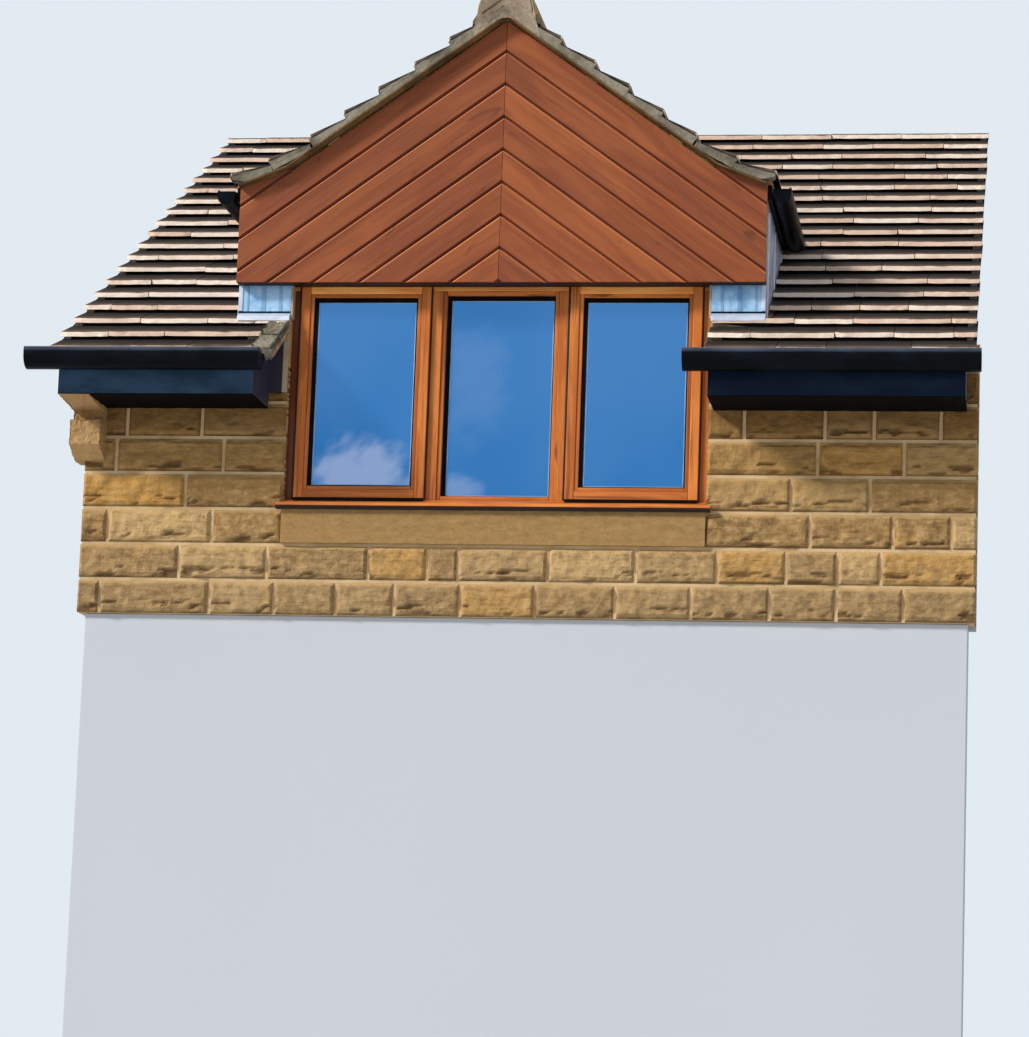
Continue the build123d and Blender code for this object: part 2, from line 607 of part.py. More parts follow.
with BuildPart() as ridge_tiles:
    with BuildSketch(Plane.XZ.offset(-FACE - FAR / 2)):
        with Locations((0, RIDGE_LEVEL - RIDGE_DROP)):
            Circle(RIDGE_RADIUS)
            Rectangle(2 * RIDGE_RADIUS, RIDGE_LEG, align=(Align.CENTER, Align.MAX))
            Rectangle(2 * RIDGE_RADIUS, FAR, align=(Align.CENTER, Align.MAX), mode=Mode.SUBTRACT)
            Rectangle(2 * RIDGE_RADIUS, RIDGE_LEG, align=(Align.CENTER, Align.MAX))
            Circle(RIDGE_RADIUS - RIDGE_WALL, mode=Mode.SUBTRACT)
            Rectangle(2 * (RIDGE_RADIUS - RIDGE_WALL), RIDGE_LEG, align=(Align.CENTER, Align.MAX),
                      mode=Mode.SUBTRACT)
    extrude(amount=FAR / 2 - TILES_FRONT)
    add(below_tiles.part, mode=Mode.SUBTRACT)
    add(below_slopes.part, mode=Mode.SUBTRACT)
finish(ridge_tiles.part, "ridge_tiles")

with BuildPart() as ridge_bedding:
    with BuildSketch(Plane.XZ.offset(-FACE - FAR / 2)):
        with Locations((0, RIDGE_LEVEL - RIDGE_DROP)):
            Circle(RIDGE_RADIUS - RIDGE_WALL)
            Rectangle(2 * RIDGE_RADIUS, RIDGE_RADIUS, align=(Align.CENTER, Align.MAX),
                      mode=Mode.SUBTRACT)
            Rectangle(2 * (RIDGE_RADIUS - RIDGE_WALL), RIDGE_LEG, align=(Align.CENTER, Align.MAX))
    extrude(amount=FAR / 2 - TILES_FRONT)
    add(below_tiles.part, mode=Mode.SUBTRACT)
    add(below_slopes.part, mode=Mode.SUBTRACT)
finish(ridge_bedding.part, "ridge_bedding")

with BuildPart() as side_fascias:
    fascia_top = dormer_z(SIDE_FASCIA_OUT, TO_RAFTER)
    for way in (-1, 1):
        block(way * GABLE_HALF, way * SIDE_FASCIA_OUT, CLADDING_BACK, FAR / 2,
              fascia_top - SIDE_FASCIA_HEIGHT, fascia_top)
        block(way * CHEEK_FACE, way * GABLE_HALF, 0, FAR / 2,
              fascia_top - SIDE_FASCIA_HEIGHT, fascia_top)
    add(below_tiles.part, mode=Mode.SUBTRACT)
finish(side_fascias.part, "side_fascias")


def gutter_outline(centre, top, radius, straight):
    """A U-shaped line: down, round the bottom and up again."""
    down = Line((centre - radius, top), (centre - radius, top - straight))
    bottom = ThreePointArc((centre - radius, top - straight), (centre, top - straight - radius),
                           (centre + radius, top - straight))
    up = Line((centre + radius, top - straight), (centre + radius, top))
    return down, bottom, up


for name, way in (("left", -1), ("right", 1)):
    gutter_centre = SIDE_FASCIA_OUT + SIDE_GUTTER_GAP + SIDE_GUTTER_RADIUS
    with BuildPart() as side_gutter:
        with BuildSketch(Plane.XZ.offset(-FACE - FAR / 2)):
            with BuildLine():
                gutter_outline(way * gutter_centre, SIDE_GUTTER_TOP, SIDE_GUTTER_RADIUS,
                               SIDE_GUTTER_STRAIGHT)
                Line((way * gutter_centre - SIDE_GUTTER_RADIUS, SIDE_GUTTER_TOP),
                     (way * gutter_centre + SIDE_GUTTER_RADIUS, SIDE_GUTTER_TOP))
            make_face()
        extrude(amount=FAR / 2 + SIDE_GUTTER_FRONT)
        with BuildSketch(Plane.XZ.offset(-FACE - FAR / 2)):
            with BuildLine():
                gutter_outline(way * gutter_centre, SIDE_GUTTER_TOP,
                               SIDE_GUTTER_RADIUS - GUTTER_WALL, SIDE_GUTTER_STRAIGHT)
                Line((way * gutter_centre - SIDE_GUTTER_RADIUS + GUTTER_WALL, SIDE_GUTTER_TOP),
                     (way * gutter_centre + SIDE_GUTTER_RADIUS - GUTTER_WALL, SIDE_GUTTER_TOP))
            make_face()
        extrude(amount=FAR / 2 + SIDE_GUTTER_FRONT - GUTTER_WALL, mode=Mode.SUBTRACT)
        for place in range(BRACKET_COUNT - 1):
            bracket_front = place * DORMER_RAFTER_SPACING
            block(way * SIDE_FASCIA_OUT, way * (SIDE_FASCIA_OUT + SIDE_GUTTER_GAP + GUTTER_WALL),
                  bracket_front, bracket_front + BRACKET_WIDTH,
                  SIDE_GUTTER_TOP - SIDE_GUTTER_STRAIGHT, SIDE_GUTTER_TOP)
        add(below_tiles.part, mode=Mode.SUBTRACT)
    finish(side_gutter.part, f"side_gutter_{name}")

# Main roof
def course_outline(d0, d1):
    """Section of the tile covering: each course rises to its nose and laps the next."""
    step = TILE_GAUGE * MAIN_COS
    points = []
    depth = d0
    while depth < d1:
        after = min(depth + step, d1)
        points.append((depth, main_z(depth)))
        points.append((after, main_z(after, TILE_STEP)))
        depth = after
    return points + [(d1, main_z(d1, TO_DECK)), (d0, main_z(d0, TO_DECK))]


for side in SIDES:
    with BuildPart() as main_tiles:
        side_prism(side.way * OPENING_HALF, side.way * side.verge,
                   course_outline(-EAVES_EDGE, ROOF_TOP_DEPTH))
        block(side.way * OPENING_HALF, side.way * GABLE_HALF, 0, FAR, 0, FAR, mode=Mode.SUBTRACT)
    finish(main_tiles.part, f"main_tiles_{side.name}")

    with BuildPart() as valley_tiles:
        side_prism(0, side.way * GABLE_HALF, course_outline(-EAVES_EDGE, ROOF_TOP_DEPTH))
        edge_depth = main_depth(dormer_z(GABLE_HALF))
        plan_prism(0, FAR, [
            (0, valley_plan[0][1] + VALLEY_HALF), (side.way * knee_x(), valley_plan[1][1] + VALLEY_HALF),
            (side.way * GABLE_HALF, edge_depth + VALLEY_HALF), (side.way * GABLE_HALF, FAR), (0, FAR),
        ], mode=Mode.INTERSECT)
    finish(valley_tiles.part, f"valley_tiles_{side.name}")

with BuildPart() as main_deck:
    for side in SIDES:
        side_prism(side.way * OPENING_HALF, side.way * (side.verge - VERGE_PAST_DECK), [
            (-FASCIA_OUT, main_z(-FASCIA_OUT, TO_DECK)),
            (ROOF_TOP_DEPTH, main_z(ROOF_TOP_DEPTH, TO_DECK)),
            (ROOF_TOP_DEPTH, main_z(ROOF_TOP_DEPTH, TO_RAFTER)),
            (-FASCIA_OUT, main_z(-FASCIA_OUT, TO_RAFTER)),
        ])
        block(side.way * OPENING_HALF, side.way * GABLE_HALF, 0, FAR, 0, FAR, mode=Mode.SUBTRACT)
    side_prism(-GABLE_HALF + BOARD_GAP, GABLE_HALF - BOARD_GAP, [
        (HEADER_DEPTH, main_z(HEADER_DEPTH, TO_DECK)),
        (ROOF_TOP_DEPTH, main_z(ROOF_TOP_DEPTH, TO_DECK)),
        (ROOF_TOP_DEPTH, main_z(ROOF_TOP_DEPTH, TO_RAFTER)),
        (HEADER_DEPTH, main_z(HEADER_DEPTH, TO_RAFTER)),
    ])
finish(main_deck.part, "main_deck")


def rafter_profile(d0, d1):
    """A main rafter seen from the side."""
    return [(d0, main_z(d0, TO_RAFTER)), (d1, main_z(d1, TO_RAFTER)),
            (d1, main_z(d1, TO_MAIN_UNDERSIDE)), (d0, main_z(d0, TO_MAIN_UNDERSIDE))]


RAFTER_TAIL = -FASCIA_OUT + FASCIA_THICKNESS
SOFFIT_TOP = SOFFIT_LEVEL + SOFFIT_THICKNESS
GUTTER_BACK = -FASCIA_OUT - GUTTER_GAP
GUTTER_TOP = main_z(GUTTER_BACK - GUTTER_WALL, TO_DECK)

with BuildPart() as main_rafters:
    for side in SIDES:
        middle = (GABLE_HALF + side.wall - RAFTER_WIDTH) / 2
        last = min(side.wall, side.box_end) - BOX_END
        for inner, outer in ((ROOM_HALF, GABLE_HALF), (middle, middle + RAFTER_WIDTH),
                             (last - RAFTER_WIDTH, last)):
            side_prism(side.way * inner, side.way * outer,
                       rafter_profile(RAFTER_TAIL, ROOF_TOP_DEPTH))
        block(side.way * OPENING_HALF, side.way * side.wall, PLATE_FRONT, PLATE_FRONT + PLATE_WIDTH,
              PLATE_BOTTOM, PLATE_TOP, mode=Mode.SUBTRACT)
    block(-FAR, FAR, -FAR, 0, 0, SOFFIT_TOP, mode=Mode.SUBTRACT)
    first_jack = -JACK_SPACING * (JACK_COUNT - 1) / 2 - RAFTER_WIDTH / 2
    for place in range(JACK_COUNT):
        jack = first_jack + place * JACK_SPACING
        side_prism(jack, jack + RAFTER_WIDTH,
                   rafter_profile(HEADER_DEPTH + HEADER_THICKNESS, ROOF_TOP_DEPTH))
finish(main_rafters.part, "main_rafters")

with BuildPart() as roof_header:
    side_prism(-ROOM_HALF, ROOM_HALF, rafter_profile(HEADER_DEPTH, HEADER_DEPTH + HEADER_THICKNESS))
finish(roof_header.part, "roof_header")

# Boxed eaves and their gutters
for side in SIDES:
    way = side.way
    with BuildPart() as eaves_box:
        block(way * side.box_start, way * side.box_end, -FASCIA_OUT, 0, SOFFIT_LEVEL, MAIN_LEVEL)
        block(way * (side.box_start + BOX_END), way * (side.box_end - BOX_END), RAFTER_TAIL, 0,
              SOFFIT_TOP, FAR, mode=Mode.SUBTRACT)
        block(way * (OPENING_HALF + JAMB_FILLET), way * side.box_start, -CLOSURE_OUT, 0,
              SOFFIT_LEVEL + CLOSURE_LIFT, MAIN_LEVEL)
        side_prism(-FAR, FAR, [(-FAR, main_z(-FAR, TO_RAFTER)), (FAR, main_z(FAR, TO_RAFTER)),
                               (-FAR, main_z(FAR, TO_RAFTER))], mode=Mode.SUBTRACT)
    finish(eaves_box.part, f"eaves_box_{side.name}")

    gutter_centre = GUTTER_BACK - GUTTER_RADIUS
    gutter_length = side.gutter_end - side.gutter_start
    low_end = min(way * side.gutter_start, way * side.gutter_end)
    with BuildPart() as eaves_gutter:
        with BuildSketch(Plane.YZ.offset(low_end)):
            with BuildLine():
                gutter_outline(FACE + gutter_centre, GUTTER_TOP, GUTTER_RADIUS, GUTTER_STRAIGHT)
                Line((FACE + gutter_centre - GUTTER_RADIUS, GUTTER_TOP),
                     (FACE + gutter_centre + GUTTER_RADIUS, GUTTER_TOP))
            make_face()
        extrude(amount=gutter_length)
        with BuildSketch(Plane.YZ.offset(low_end + GUTTER_WALL)):
            with BuildLine():
                gutter_outline(FACE + gutter_centre, GUTTER_TOP, GUTTER_RADIUS - GUTTER_WALL,
                               GUTTER_STRAIGHT)
                Line((FACE + gutter_centre - GUTTER_RADIUS + GUTTER_WALL, GUTTER_TOP),
                     (FACE + gutter_centre + GUTTER_RADIUS - GUTTER_WALL, GUTTER_TOP))
            make_face()
        extrude(amount=gutter_length - 2 * GUTTER_WALL, mode=Mode.SUBTRACT)
        side_prism(way * OPENING_HALF, way * side.verge, [
            (-EAVES_EDGE, main_z(-EAVES_EDGE, TO_DECK)), (GUTTER_BACK, main_z(GUTTER_BACK, TO_DECK)),
            (-EAVES_EDGE, main_z(GUTTER_BACK, TO_DECK)),
        ], mode=Mode.SUBTRACT)
        bracket_pitch = (side.box_end - side.box_start - BRACKET_WIDTH) / (BRACKET_COUNT - 1)
        for place in range(BRACKET_COUNT):
            bracket = side.box_start + place * bracket_pitch
            block(way * bracket, way * (bracket + BRACKET_WIDTH),
                  GUTTER_BACK - GUTTER_WALL, -FASCIA_OUT,
                  GUTTER_TOP - BRACKET_HEIGHT, GUTTER_TOP - GUTTER_WALL)
    finish(eaves_gutter.part, f"eaves_gutter_{side.name}")
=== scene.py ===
# %% [markdown]
# # A dormer window, dressed piece by piece
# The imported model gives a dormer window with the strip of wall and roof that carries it: plain
# solids in their true places. This lesson dresses them. Walls turn into single pitched stones in
# mortar, roof slabs into separate tiles, the gable into grooved boards, and every surface gets a
# finish made of nodes. Everything is in metres, in the same frame as the model.

import math
import random

import bmesh
import bpy
from mathutils import Matrix, Vector


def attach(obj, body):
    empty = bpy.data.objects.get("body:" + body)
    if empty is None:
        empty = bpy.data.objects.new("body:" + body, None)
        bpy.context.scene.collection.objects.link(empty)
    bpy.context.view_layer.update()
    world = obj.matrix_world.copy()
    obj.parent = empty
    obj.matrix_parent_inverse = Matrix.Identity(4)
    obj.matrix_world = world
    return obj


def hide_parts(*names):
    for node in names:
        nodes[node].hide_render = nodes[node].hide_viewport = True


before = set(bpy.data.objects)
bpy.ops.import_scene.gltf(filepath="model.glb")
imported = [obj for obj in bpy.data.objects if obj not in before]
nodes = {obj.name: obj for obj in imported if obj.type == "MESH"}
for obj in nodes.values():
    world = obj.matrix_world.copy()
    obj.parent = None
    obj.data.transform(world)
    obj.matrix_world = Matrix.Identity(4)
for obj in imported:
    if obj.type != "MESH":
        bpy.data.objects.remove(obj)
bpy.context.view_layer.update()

# %% [markdown]
# The roof slopes, courses and faces are all described by a few sizes. Depths are measured inwards
# from the outer stone face, because that is how a builder sets out a window: so a negative depth
# stands in front of the wall.

# %% Sizes that the pieces share
FACE = -0.125
COURSE = 0.150
WALL_LEFT, WALL_RIGHT = 1.735, 1.980
OPENING = 0.882
SILL_TOP = 0.440
MAIN_LEVEL, MAIN_PITCH = 1.262, math.radians(32)
SOFFIT_LEVEL = 0.865
GABLE_HALF, GABLE_BOTTOM, GABLE_PROUD = 1.107, 1.391, 0.060
DORMER_EAVES = 1.871
DORMER_PITCH, FOOT_PITCH, FOOT_START = math.radians(36), math.radians(22), 0.907
DORMER_EDGE = 1.157
RIDGE_LEVEL = DORMER_EAVES + 0.2 * math.tan(FOOT_PITCH) + FOOT_START * math.tan(DORMER_PITCH)
GAUGE, EAVES_EDGE = 0.178, 0.330
ROOF_TOP = (RIDGE_LEVEL - MAIN_LEVEL) / math.tan(MAIN_PITCH) + 0.3
TILES_FRONT = -0.105


def main_z(depth, below=0.0):
    """Height of the main roof's plane, or of one a little below it."""
    return MAIN_LEVEL + depth * math.tan(MAIN_PITCH) - below / math.cos(MAIN_PITCH)


def main_depth(height, below=0.0):
    """Depth at which that plane reaches a height."""
    return (height - MAIN_LEVEL + below / math.cos(MAIN_PITCH)) / math.tan(MAIN_PITCH)


def dormer_z(x, below=0.0):
    """Height of the dormer's slope, with its flatter foot."""
    cos_main, cos_foot = math.cos(DORMER_PITCH), math.cos(FOOT_PITCH)
    bend = math.tan(FOOT_PITCH) - math.tan(DORMER_PITCH)
    knee = FOOT_START + below * (1 / cos_main - 1 / cos_foot) / bend
    inner = min(abs(x), knee)
    height = RIDGE_LEVEL - inner * math.tan(DORMER_PITCH) - below / cos_main
    return height - (abs(x) - inner) * math.tan(FOOT_PITCH)


def at(x, depth, z):
    """A point from its place along the facade, its depth behind the stone face and its height."""
    return Vector((x, FACE + depth, z))


# The wall plate stands in a notch of the rafters, and the inner leaf ends under it.
RAFTER_LOW, NOTCH, PLATE = 0.183, 0.049, 0.075
PLATE_LOW = main_z(0.125, RAFTER_LOW) + NOTCH - PLATE
print("ridge at", round(RIDGE_LEVEL, 3), "roof ends", round(ROOF_TOP, 3), "behind the face")

# %% [markdown]
# ## Writing node trees as sums
# A node's output is wrapped so that ordinary signs add Math nodes. The same two classes serve
# shaders and Geometry Nodes, since both are trees of nodes with sockets.


# %% A socket that sums can be written with
def method(operation, swapped=False):
    """A method that adds one Math node."""
    if swapped:
        return lambda self, other: self.maths(operation, other, self)
    return lambda self, *others: self.maths(operation, self, *others)


class Wire:
    """One output socket of a tree."""

    def __init__(self, tree, socket):
        self.tree, self.socket = tree, socket

    def maths(self, operation, *values):
        inputs = dict(enumerate(values))
        return self.tree.node("ShaderNodeMath", {"operation": operation}, inputs)

    __add__ = __radd__ = method("ADD")
    __mul__ = __rmul__ = method("MULTIPLY")
    __sub__, __rsub__ = method("SUBTRACT"), method("SUBTRACT", swapped=True)
    __truediv__, __pow__, __abs__ = method("DIVIDE"), method("POWER"), method("ABSOLUTE")
    __lt__, __gt__, sign = method("LESS_THAN"), method("GREATER_THAN"), method("SIGN")
    least, most = method("MINIMUM"), method("MAXIMUM")


class Tree:
    """A node tree that is being built."""

    def __init__(self, group):
        self.group = group

    def node(self, kind, settings=None, inputs=None, output=0):
        made = self.group.nodes.new(kind)
        for name, value in (settings or {}).items():
            setattr(made, name, value)
        for key, value in (inputs or {}).items():
            self.feed(made.inputs[key], value)
        return Wire(self, made.outputs[output])

    def feed(self, socket, value):
        if isinstance(value, Wire):
            self.group.links.new(value.socket, socket)
        else:
            socket.default_value = value

    def split(self, vector):
        """The three numbers of a vector."""
        apart = self.node("ShaderNodeSeparateXYZ", {}, {0: vector})
        return [Wire(self, socket) for socket in apart.socket.node.outputs]

    def join(self, x, y, z):
        return self.node("ShaderNodeCombineXYZ", {}, {0: x, 1: y, 2: z})

    def noise(self, where, scale=1.0, detail=4.0, rough=0.5, warp=0.0):
        return self.node("ShaderNodeTexNoise", {}, {
            "Vector": where, "Scale": scale, "Detail": detail, "Roughness": rough,
            "Distortion": warp})

    def step(self, value, low, high, start=0.0, end=1.0):
        """Smooth change from start to end while the value goes from low to high."""
        return self.node("ShaderNodeMapRange", {"interpolation_type": "SMOOTHSTEP"}, {
            "Value": value, "From Min": low, "From Max": high, "To Min": start, "To Max": end})


# %% [markdown]
# ## Finishes
# A finish starts from the Principled shader. Its colour is mixed from a few tones with noise that
# is stretched along the grain, the bed or the fall of the rain, and the same noise gives the
# surface its relief, so that what is dark is also lower or rougher, as on the real thing.


# %% Colours and the finish class
def tone(code):
    """A colour written as the hex code that a screen shows, made linear."""
    shown = [value / 255 for value in bytes.fromhex(code)]
    return (*(v / 12.92 if v <= 0.04045 else ((v + 0.055) / 1.055) ** 2.4 for v in shown), 1.0)


class Finish(Tree):
    """A material with one Principled shader, whose colour is painted layer by layer."""

    def __init__(self, name, colour, **sockets):
        self.material = bpy.data.materials.new(name)
        self.material.use_nodes = True
        super().__init__(self.material.node_tree)
        self.group.nodes.clear()
        self.shader = self.group.nodes.new("ShaderNodeBsdfPrincipled")
        output = self.group.nodes.new("ShaderNodeOutputMaterial")
        self.group.links.new(self.shader.outputs[0], output.inputs[0])
        self.colour = colour
        self.set(**sockets)

    def set(self, **sockets):
        for name, value in sockets.items():
            self.feed(self.shader.inputs[name.replace("_", " ")], value)

    def place(self, turn=(0, 0, 0), stretch=(1, 1, 1), fold=False):
        """Object coordinates, turned so that the pattern runs the right way and stretched."""
        where = self.node("ShaderNodeTexCoord", output=3)
        if fold:
            x, y, z = self.split(where)
            where = self.join(abs(x), y, z)
        angles = [math.radians(angle) for angle in turn]
        where = self.node("ShaderNodeMapping", {}, {"Vector": where, "Rotation": angles})
        return self.node("ShaderNodeMapping", {}, {"Vector": where, "Scale": stretch})

    def value(self, attribute, output=2):
        return self.node("ShaderNodeAttribute", {"attribute_name": attribute}, output=output)

    def follow(self, attribute, stretch):
        """The piece's own vector attribute, stretched."""
        return self.node("ShaderNodeMapping", {}, {
            "Vector": self.value(attribute, 1), "Scale": stretch})

    def mix(self, mask, one, other):
        one, other = (tone(c) if isinstance(c, str) else c for c in (one, other))
        return self.node("ShaderNodeMix", {"data_type": "RGBA"}, {0: mask, 6: one, 7: other}, 2)

    def paint(self, colour, mask, *spread):
        """Lays a colour over the last one. A spread of low, high and amount makes a value the
        mask: it comes in while the value goes from low to high."""
        if spread:
            low, high, *amount = spread
            mask = self.step(mask, low, high, 0.0, *amount)
        self.colour = self.mix(mask, self.colour, colour)

    def done(self, height=None, depth=0.0, strength=1.0, **sockets):
        """Sets the colour, the relief and what else varies, and hands the material over."""
        if height:
            sockets["Normal"] = self.node("ShaderNodeBump", {}, {
                "Height": height, "Distance": depth, "Strength": strength})
        self.set(Base_Color=self.colour, **sockets)
        return self.material


# %% [markdown]
# **Stone.** Buff sandstone varies from block to block and carries faint beds and iron stains.
# Each block has a number of its own that picks its tone; layered noise adds the beds.


# %% Pitched stone, sawn stone and mortar
def stone_finish(name, colours, beds_and_shade, grain, pale_below=-1.0):
    light, mid, warm, dark = colours.split()
    made = Finish(name, mid, Roughness=0.9, Specular_IOR_Level=0.15)
    height = made.split(made.place())[2]
    pick = made.value("tone")
    fine = made.noise(made.place(), 90, 6, 0.65)
    bed = made.noise(made.place(stretch=(3.0, 3.0, 26.0)), 1.6, 5, 0.6, 0.6)
    cloud = made.noise(made.place(), 5.0, 4, 0.6)
    chips = made.noise(made.place(stretch=(22, 22, 42)), 1.0, 3, 0.6)
    worn = made.step(height, 0.42, 0.58, 0.72, 0.36)
    edge = made.split(made.value("local", 1))[2]
    made.paint(light, pick, 0.25, 0.75)
    made.paint(warm, pick, 0.72, 0.95)
    made.paint(dark, made.step(bed, 0.50, 0.72, 0.0, beds_and_shade) * worn)
    made.paint(warm, cloud, 0.52, 0.75, 0.45)
    made.paint(light, fine, 0.35, 0.65, 0.28)
    # Chips: the pale flecks are painted highlights on facets, the dark ones painted shade in
    # hollows.
    made.paint(light, chips, 0.53, 0.62, beds_and_shade * 0.75)
    made.paint(dark, made.step(chips, 0.46, 0.36, 0.0, beds_and_shade * 0.75) * worn)
    made.paint("9c8a6c", height, pale_below + 0.3, pale_below, 0.25)
    made.paint("a07a42", height, 0.44, 0.60, beds_and_shade * 0.6)
    # Painted shade: the top courses darken under the eaves boxes.
    made.paint("5c3c14", height, 0.70, 0.84, beds_and_shade * 0.95)
    # Painted shadow along each stone's lower margin, painted highlight along its top margin.
    made.paint(dark, edge + cloud * 0.08, -0.38, -0.45, 0.6)
    made.paint(light, edge, 0.38, 0.45, 0.6)
    # The chisel notches are painted darker, as shade in them.
    made.paint(dark, made.value("pit") * 0.7)
    return made.done(fine * 0.6 + bed + chips * 0.6, grain, 0.8)


pitched_stone = stone_finish(
    "pitched_stone", "c2a270 96764a ba8c48 4a321c", 0.65, 0.008, 0.12)
sawn_stone = stone_finish(
    "sawn_stone", "b09264 98784a aa8042 6e502e", 0.4, 0.002)
kneeler_stone = stone_finish(
    "kneeler_stone", "ceb28a ac8c60 b88a48 543c22", 0.3, 0.006)


def sandy_finish(name, colours, scale, depth):
    pale, dark = colours.split()
    made = Finish(name, pale, Roughness=0.95, Specular_IOR_Level=0.2)
    grit = made.noise(made.place(), scale, 6, 0.7)
    patch = made.noise(made.place(), 7, 4, 0.6)
    made.paint(dark, patch, 0.35, 0.7)
    made.paint(dark, grit, 0.45, 0.75, 0.4)
    return made.done(grit + patch, depth)


wall_mortar = sandy_finish("wall_mortar", "d4b88e b69a70", 160, 0.001)
verge_mortar = sandy_finish("verge_mortar", "948e7e 666052", 60, 0.006)
fillet_mortar = sandy_finish("fillet_mortar", "c8b496 a59170", 90, 0.003)


# %% [markdown]
# **Timber.** Grain is noise stretched along each board, over a broader figure that gives the dark
# and light patches of a stained hardwood. A board's own *grain* attribute says which way it runs,
# so that rails and stiles differ; sawn timbers inside read the frame's coordinates, turned.


# %% Timber finishes
def timber_finish(name, colours, rough, coat=0.0, shade=None, figure=0.55, turn=None, fold=False):
    light, mid, dark = colours.split()
    made = Finish(name, mid, Coat_Weight=coat, Specular_IOR_Level=0.25)

    def streaks(stretch, *detail):
        where = made.place(turn, stretch, fold) if turn else made.follow("grain", stretch)
        return made.noise(where, 1.0, *detail)

    fine = streaks((2.0, 70.0, 70.0), 5, 0.6, 0.3)
    broad = streaks((1.4, 9.0, 9.0), 4, 0.6, 1.2)
    knots = streaks((5.0, 16.0, 16.0), 2, 0.5, 0.5)
    made.paint(light, broad, 0.36, 0.66)
    made.paint(dark, fine, 0.48, 0.72, figure)
    made.paint(dark, knots, 0.66, 0.76, 0.75)
    if shade:
        made.paint(dark, made.value("tone") * shade)
    return made.done(fine, 0.0012, 0.6,
                     Roughness=made.step(fine, 0.3, 0.7, rough - 0.08, rough + 0.1))


window_timber = timber_finish(
    "window_timber", "e2883e c06a2c 5a250d", 0.42, 0.08, 0.4, 0.62)
# A paler copy of the window timber, as painted light, for the head and the top rails in the gable's
# shade.
window_pale = timber_finish(
    "window_pale", "ffb862 f2964a 964e22", 0.42, 0.08, 0.4, 0.5)
cladding_timber = timber_finish(
    "cladding_timber", "a25a30 8a4828 603020", 0.5, 0.02, 0.35, 0.5)
# Pale and dark copies of the boards' timber, for chamfers painted as lit and as in shade.
cladding_worn = timber_finish(
    "cladding_worn", "e28e58 cc7644 96502e", 0.5, 0, 0.3, 0.3)
cladding_joint = timber_finish(
    "cladding_joint", "703824 5c2c1e 3c1c14", 0.6, 0, 0.3, 0.3)
# Near-black timber, as painted shade: the gable's soffit, the underside of the cill's nose, strips
# beside the casements.
soffit_timber = timber_finish(
    "soffit_timber", "2e1a12 261610 180e0a", 0.6, turn=(0, 0, 0))
pine_upright, pine_level, pine_inward, pine_main_slope, pine_dormer_slope = (
    timber_finish(name, "ceac7c bc9664 966c42", 0.75, turn=turn, fold=fold)
    for name, turn, fold in (
        ("pine_upright", (0, 90, 0), False), ("pine_level", (0, 0, 0), False),
        ("pine_inward", (0, 0, -90), False), ("pine_main_slope", (-32, 0, -90), False),
        ("pine_dormer_slope", (0, -36, 0), True)))


def strand_board():
    """Roof boarding pressed from flat strands of wood."""
    made = Finish("strand_board", "cea670", Roughness=0.8)
    cells = made.node("ShaderNodeTexVoronoi", {"feature": "F1"},
                      {"Vector": made.place(stretch=(30, 30, 30)), "Scale": 1.0}, 1)
    fine = made.noise(made.place(stretch=(60, 20, 60)), 1.0, 4, 0.55)
    shade = made.node("ShaderNodeSeparateColor", {}, {0: cells})
    made.paint("a07444", shade)
    made.paint("e2c292", fine, 0.45, 0.7, 0.5)
    return made.done(shade + fine, 0.001)


strands = strand_board()

# %% [markdown]
# ** Glass.** The panes' colour is a painted sky reflection: blue, paler towards the top, with soft
# patches of cloud. They act as a tinted mirror: a nearly smooth metallic surface whose colour
# drifts.


# %% Glass, gasket, lead and black trim
def coated_glass():
    made = Finish("coated_glass", "2c7abe", Roughness=0.04, Metallic=0.82)
    x, _, z = made.split(made.place())
    drift = made.noise(made.place(stretch=(1.3, 1, 1.0)), 1.0, 2, 0.4)
    ragged = made.noise(made.place(turn=(0, 35, 0), stretch=(7, 1, 12)), 1.0, 5, 0.5)
    # Painted sky reflection: a paler blue upwards, then three soft patches of cloud.
    made.paint("4c8ac8", drift + z * 0.25, 0.45, 0.9)
    for middle_x, middle_z, wide, high, amount in ((-0.56, 0.60, 0.26, 0.17, 0.85),
                                                   (-0.15, 0.53, 0.13, 0.08, 0.45),
                                                   (-0.10, 1.00, 0.16, 0.30, 0.12)):
        away = ((x - middle_x) / wide) ** 2 + ((z - middle_z) / high) ** 2
        made.paint("a8bce2", away + (ragged - 0.5) * 2.2, 1.1, 0.1, amount)
    return made.done()


def gasket_rubber():
    made = Finish("gasket_rubber", "0b0807", Roughness=0.7, Specular_IOR_Level=0.05)
    made.paint("16110f", made.noise(made.place(), 40, 3, 0.55), 0.4, 0.8)
    return made.done()


def lead_sheet(name, colours, metal=0.25):
    """Lead goes dull grey-blue, with paler bloom and streaks where rain runs down."""
    pale, mid, dark = colours.split()
    made = Finish(name, mid, Metallic=metal)
    run = made.noise(made.place(stretch=(24, 24, 3.0)), 1.0, 4, 0.6, 0.4)
    bloom = made.noise(made.place(), 9, 5, 0.65)
    made.paint(pale, bloom, 0.35, 0.65)
    made.paint(dark, run, 0.52, 0.74, 0.6)
    return made.done(bloom, 0.003, Roughness=made.step(bloom, 0.3, 0.7, 0.38, 0.58))


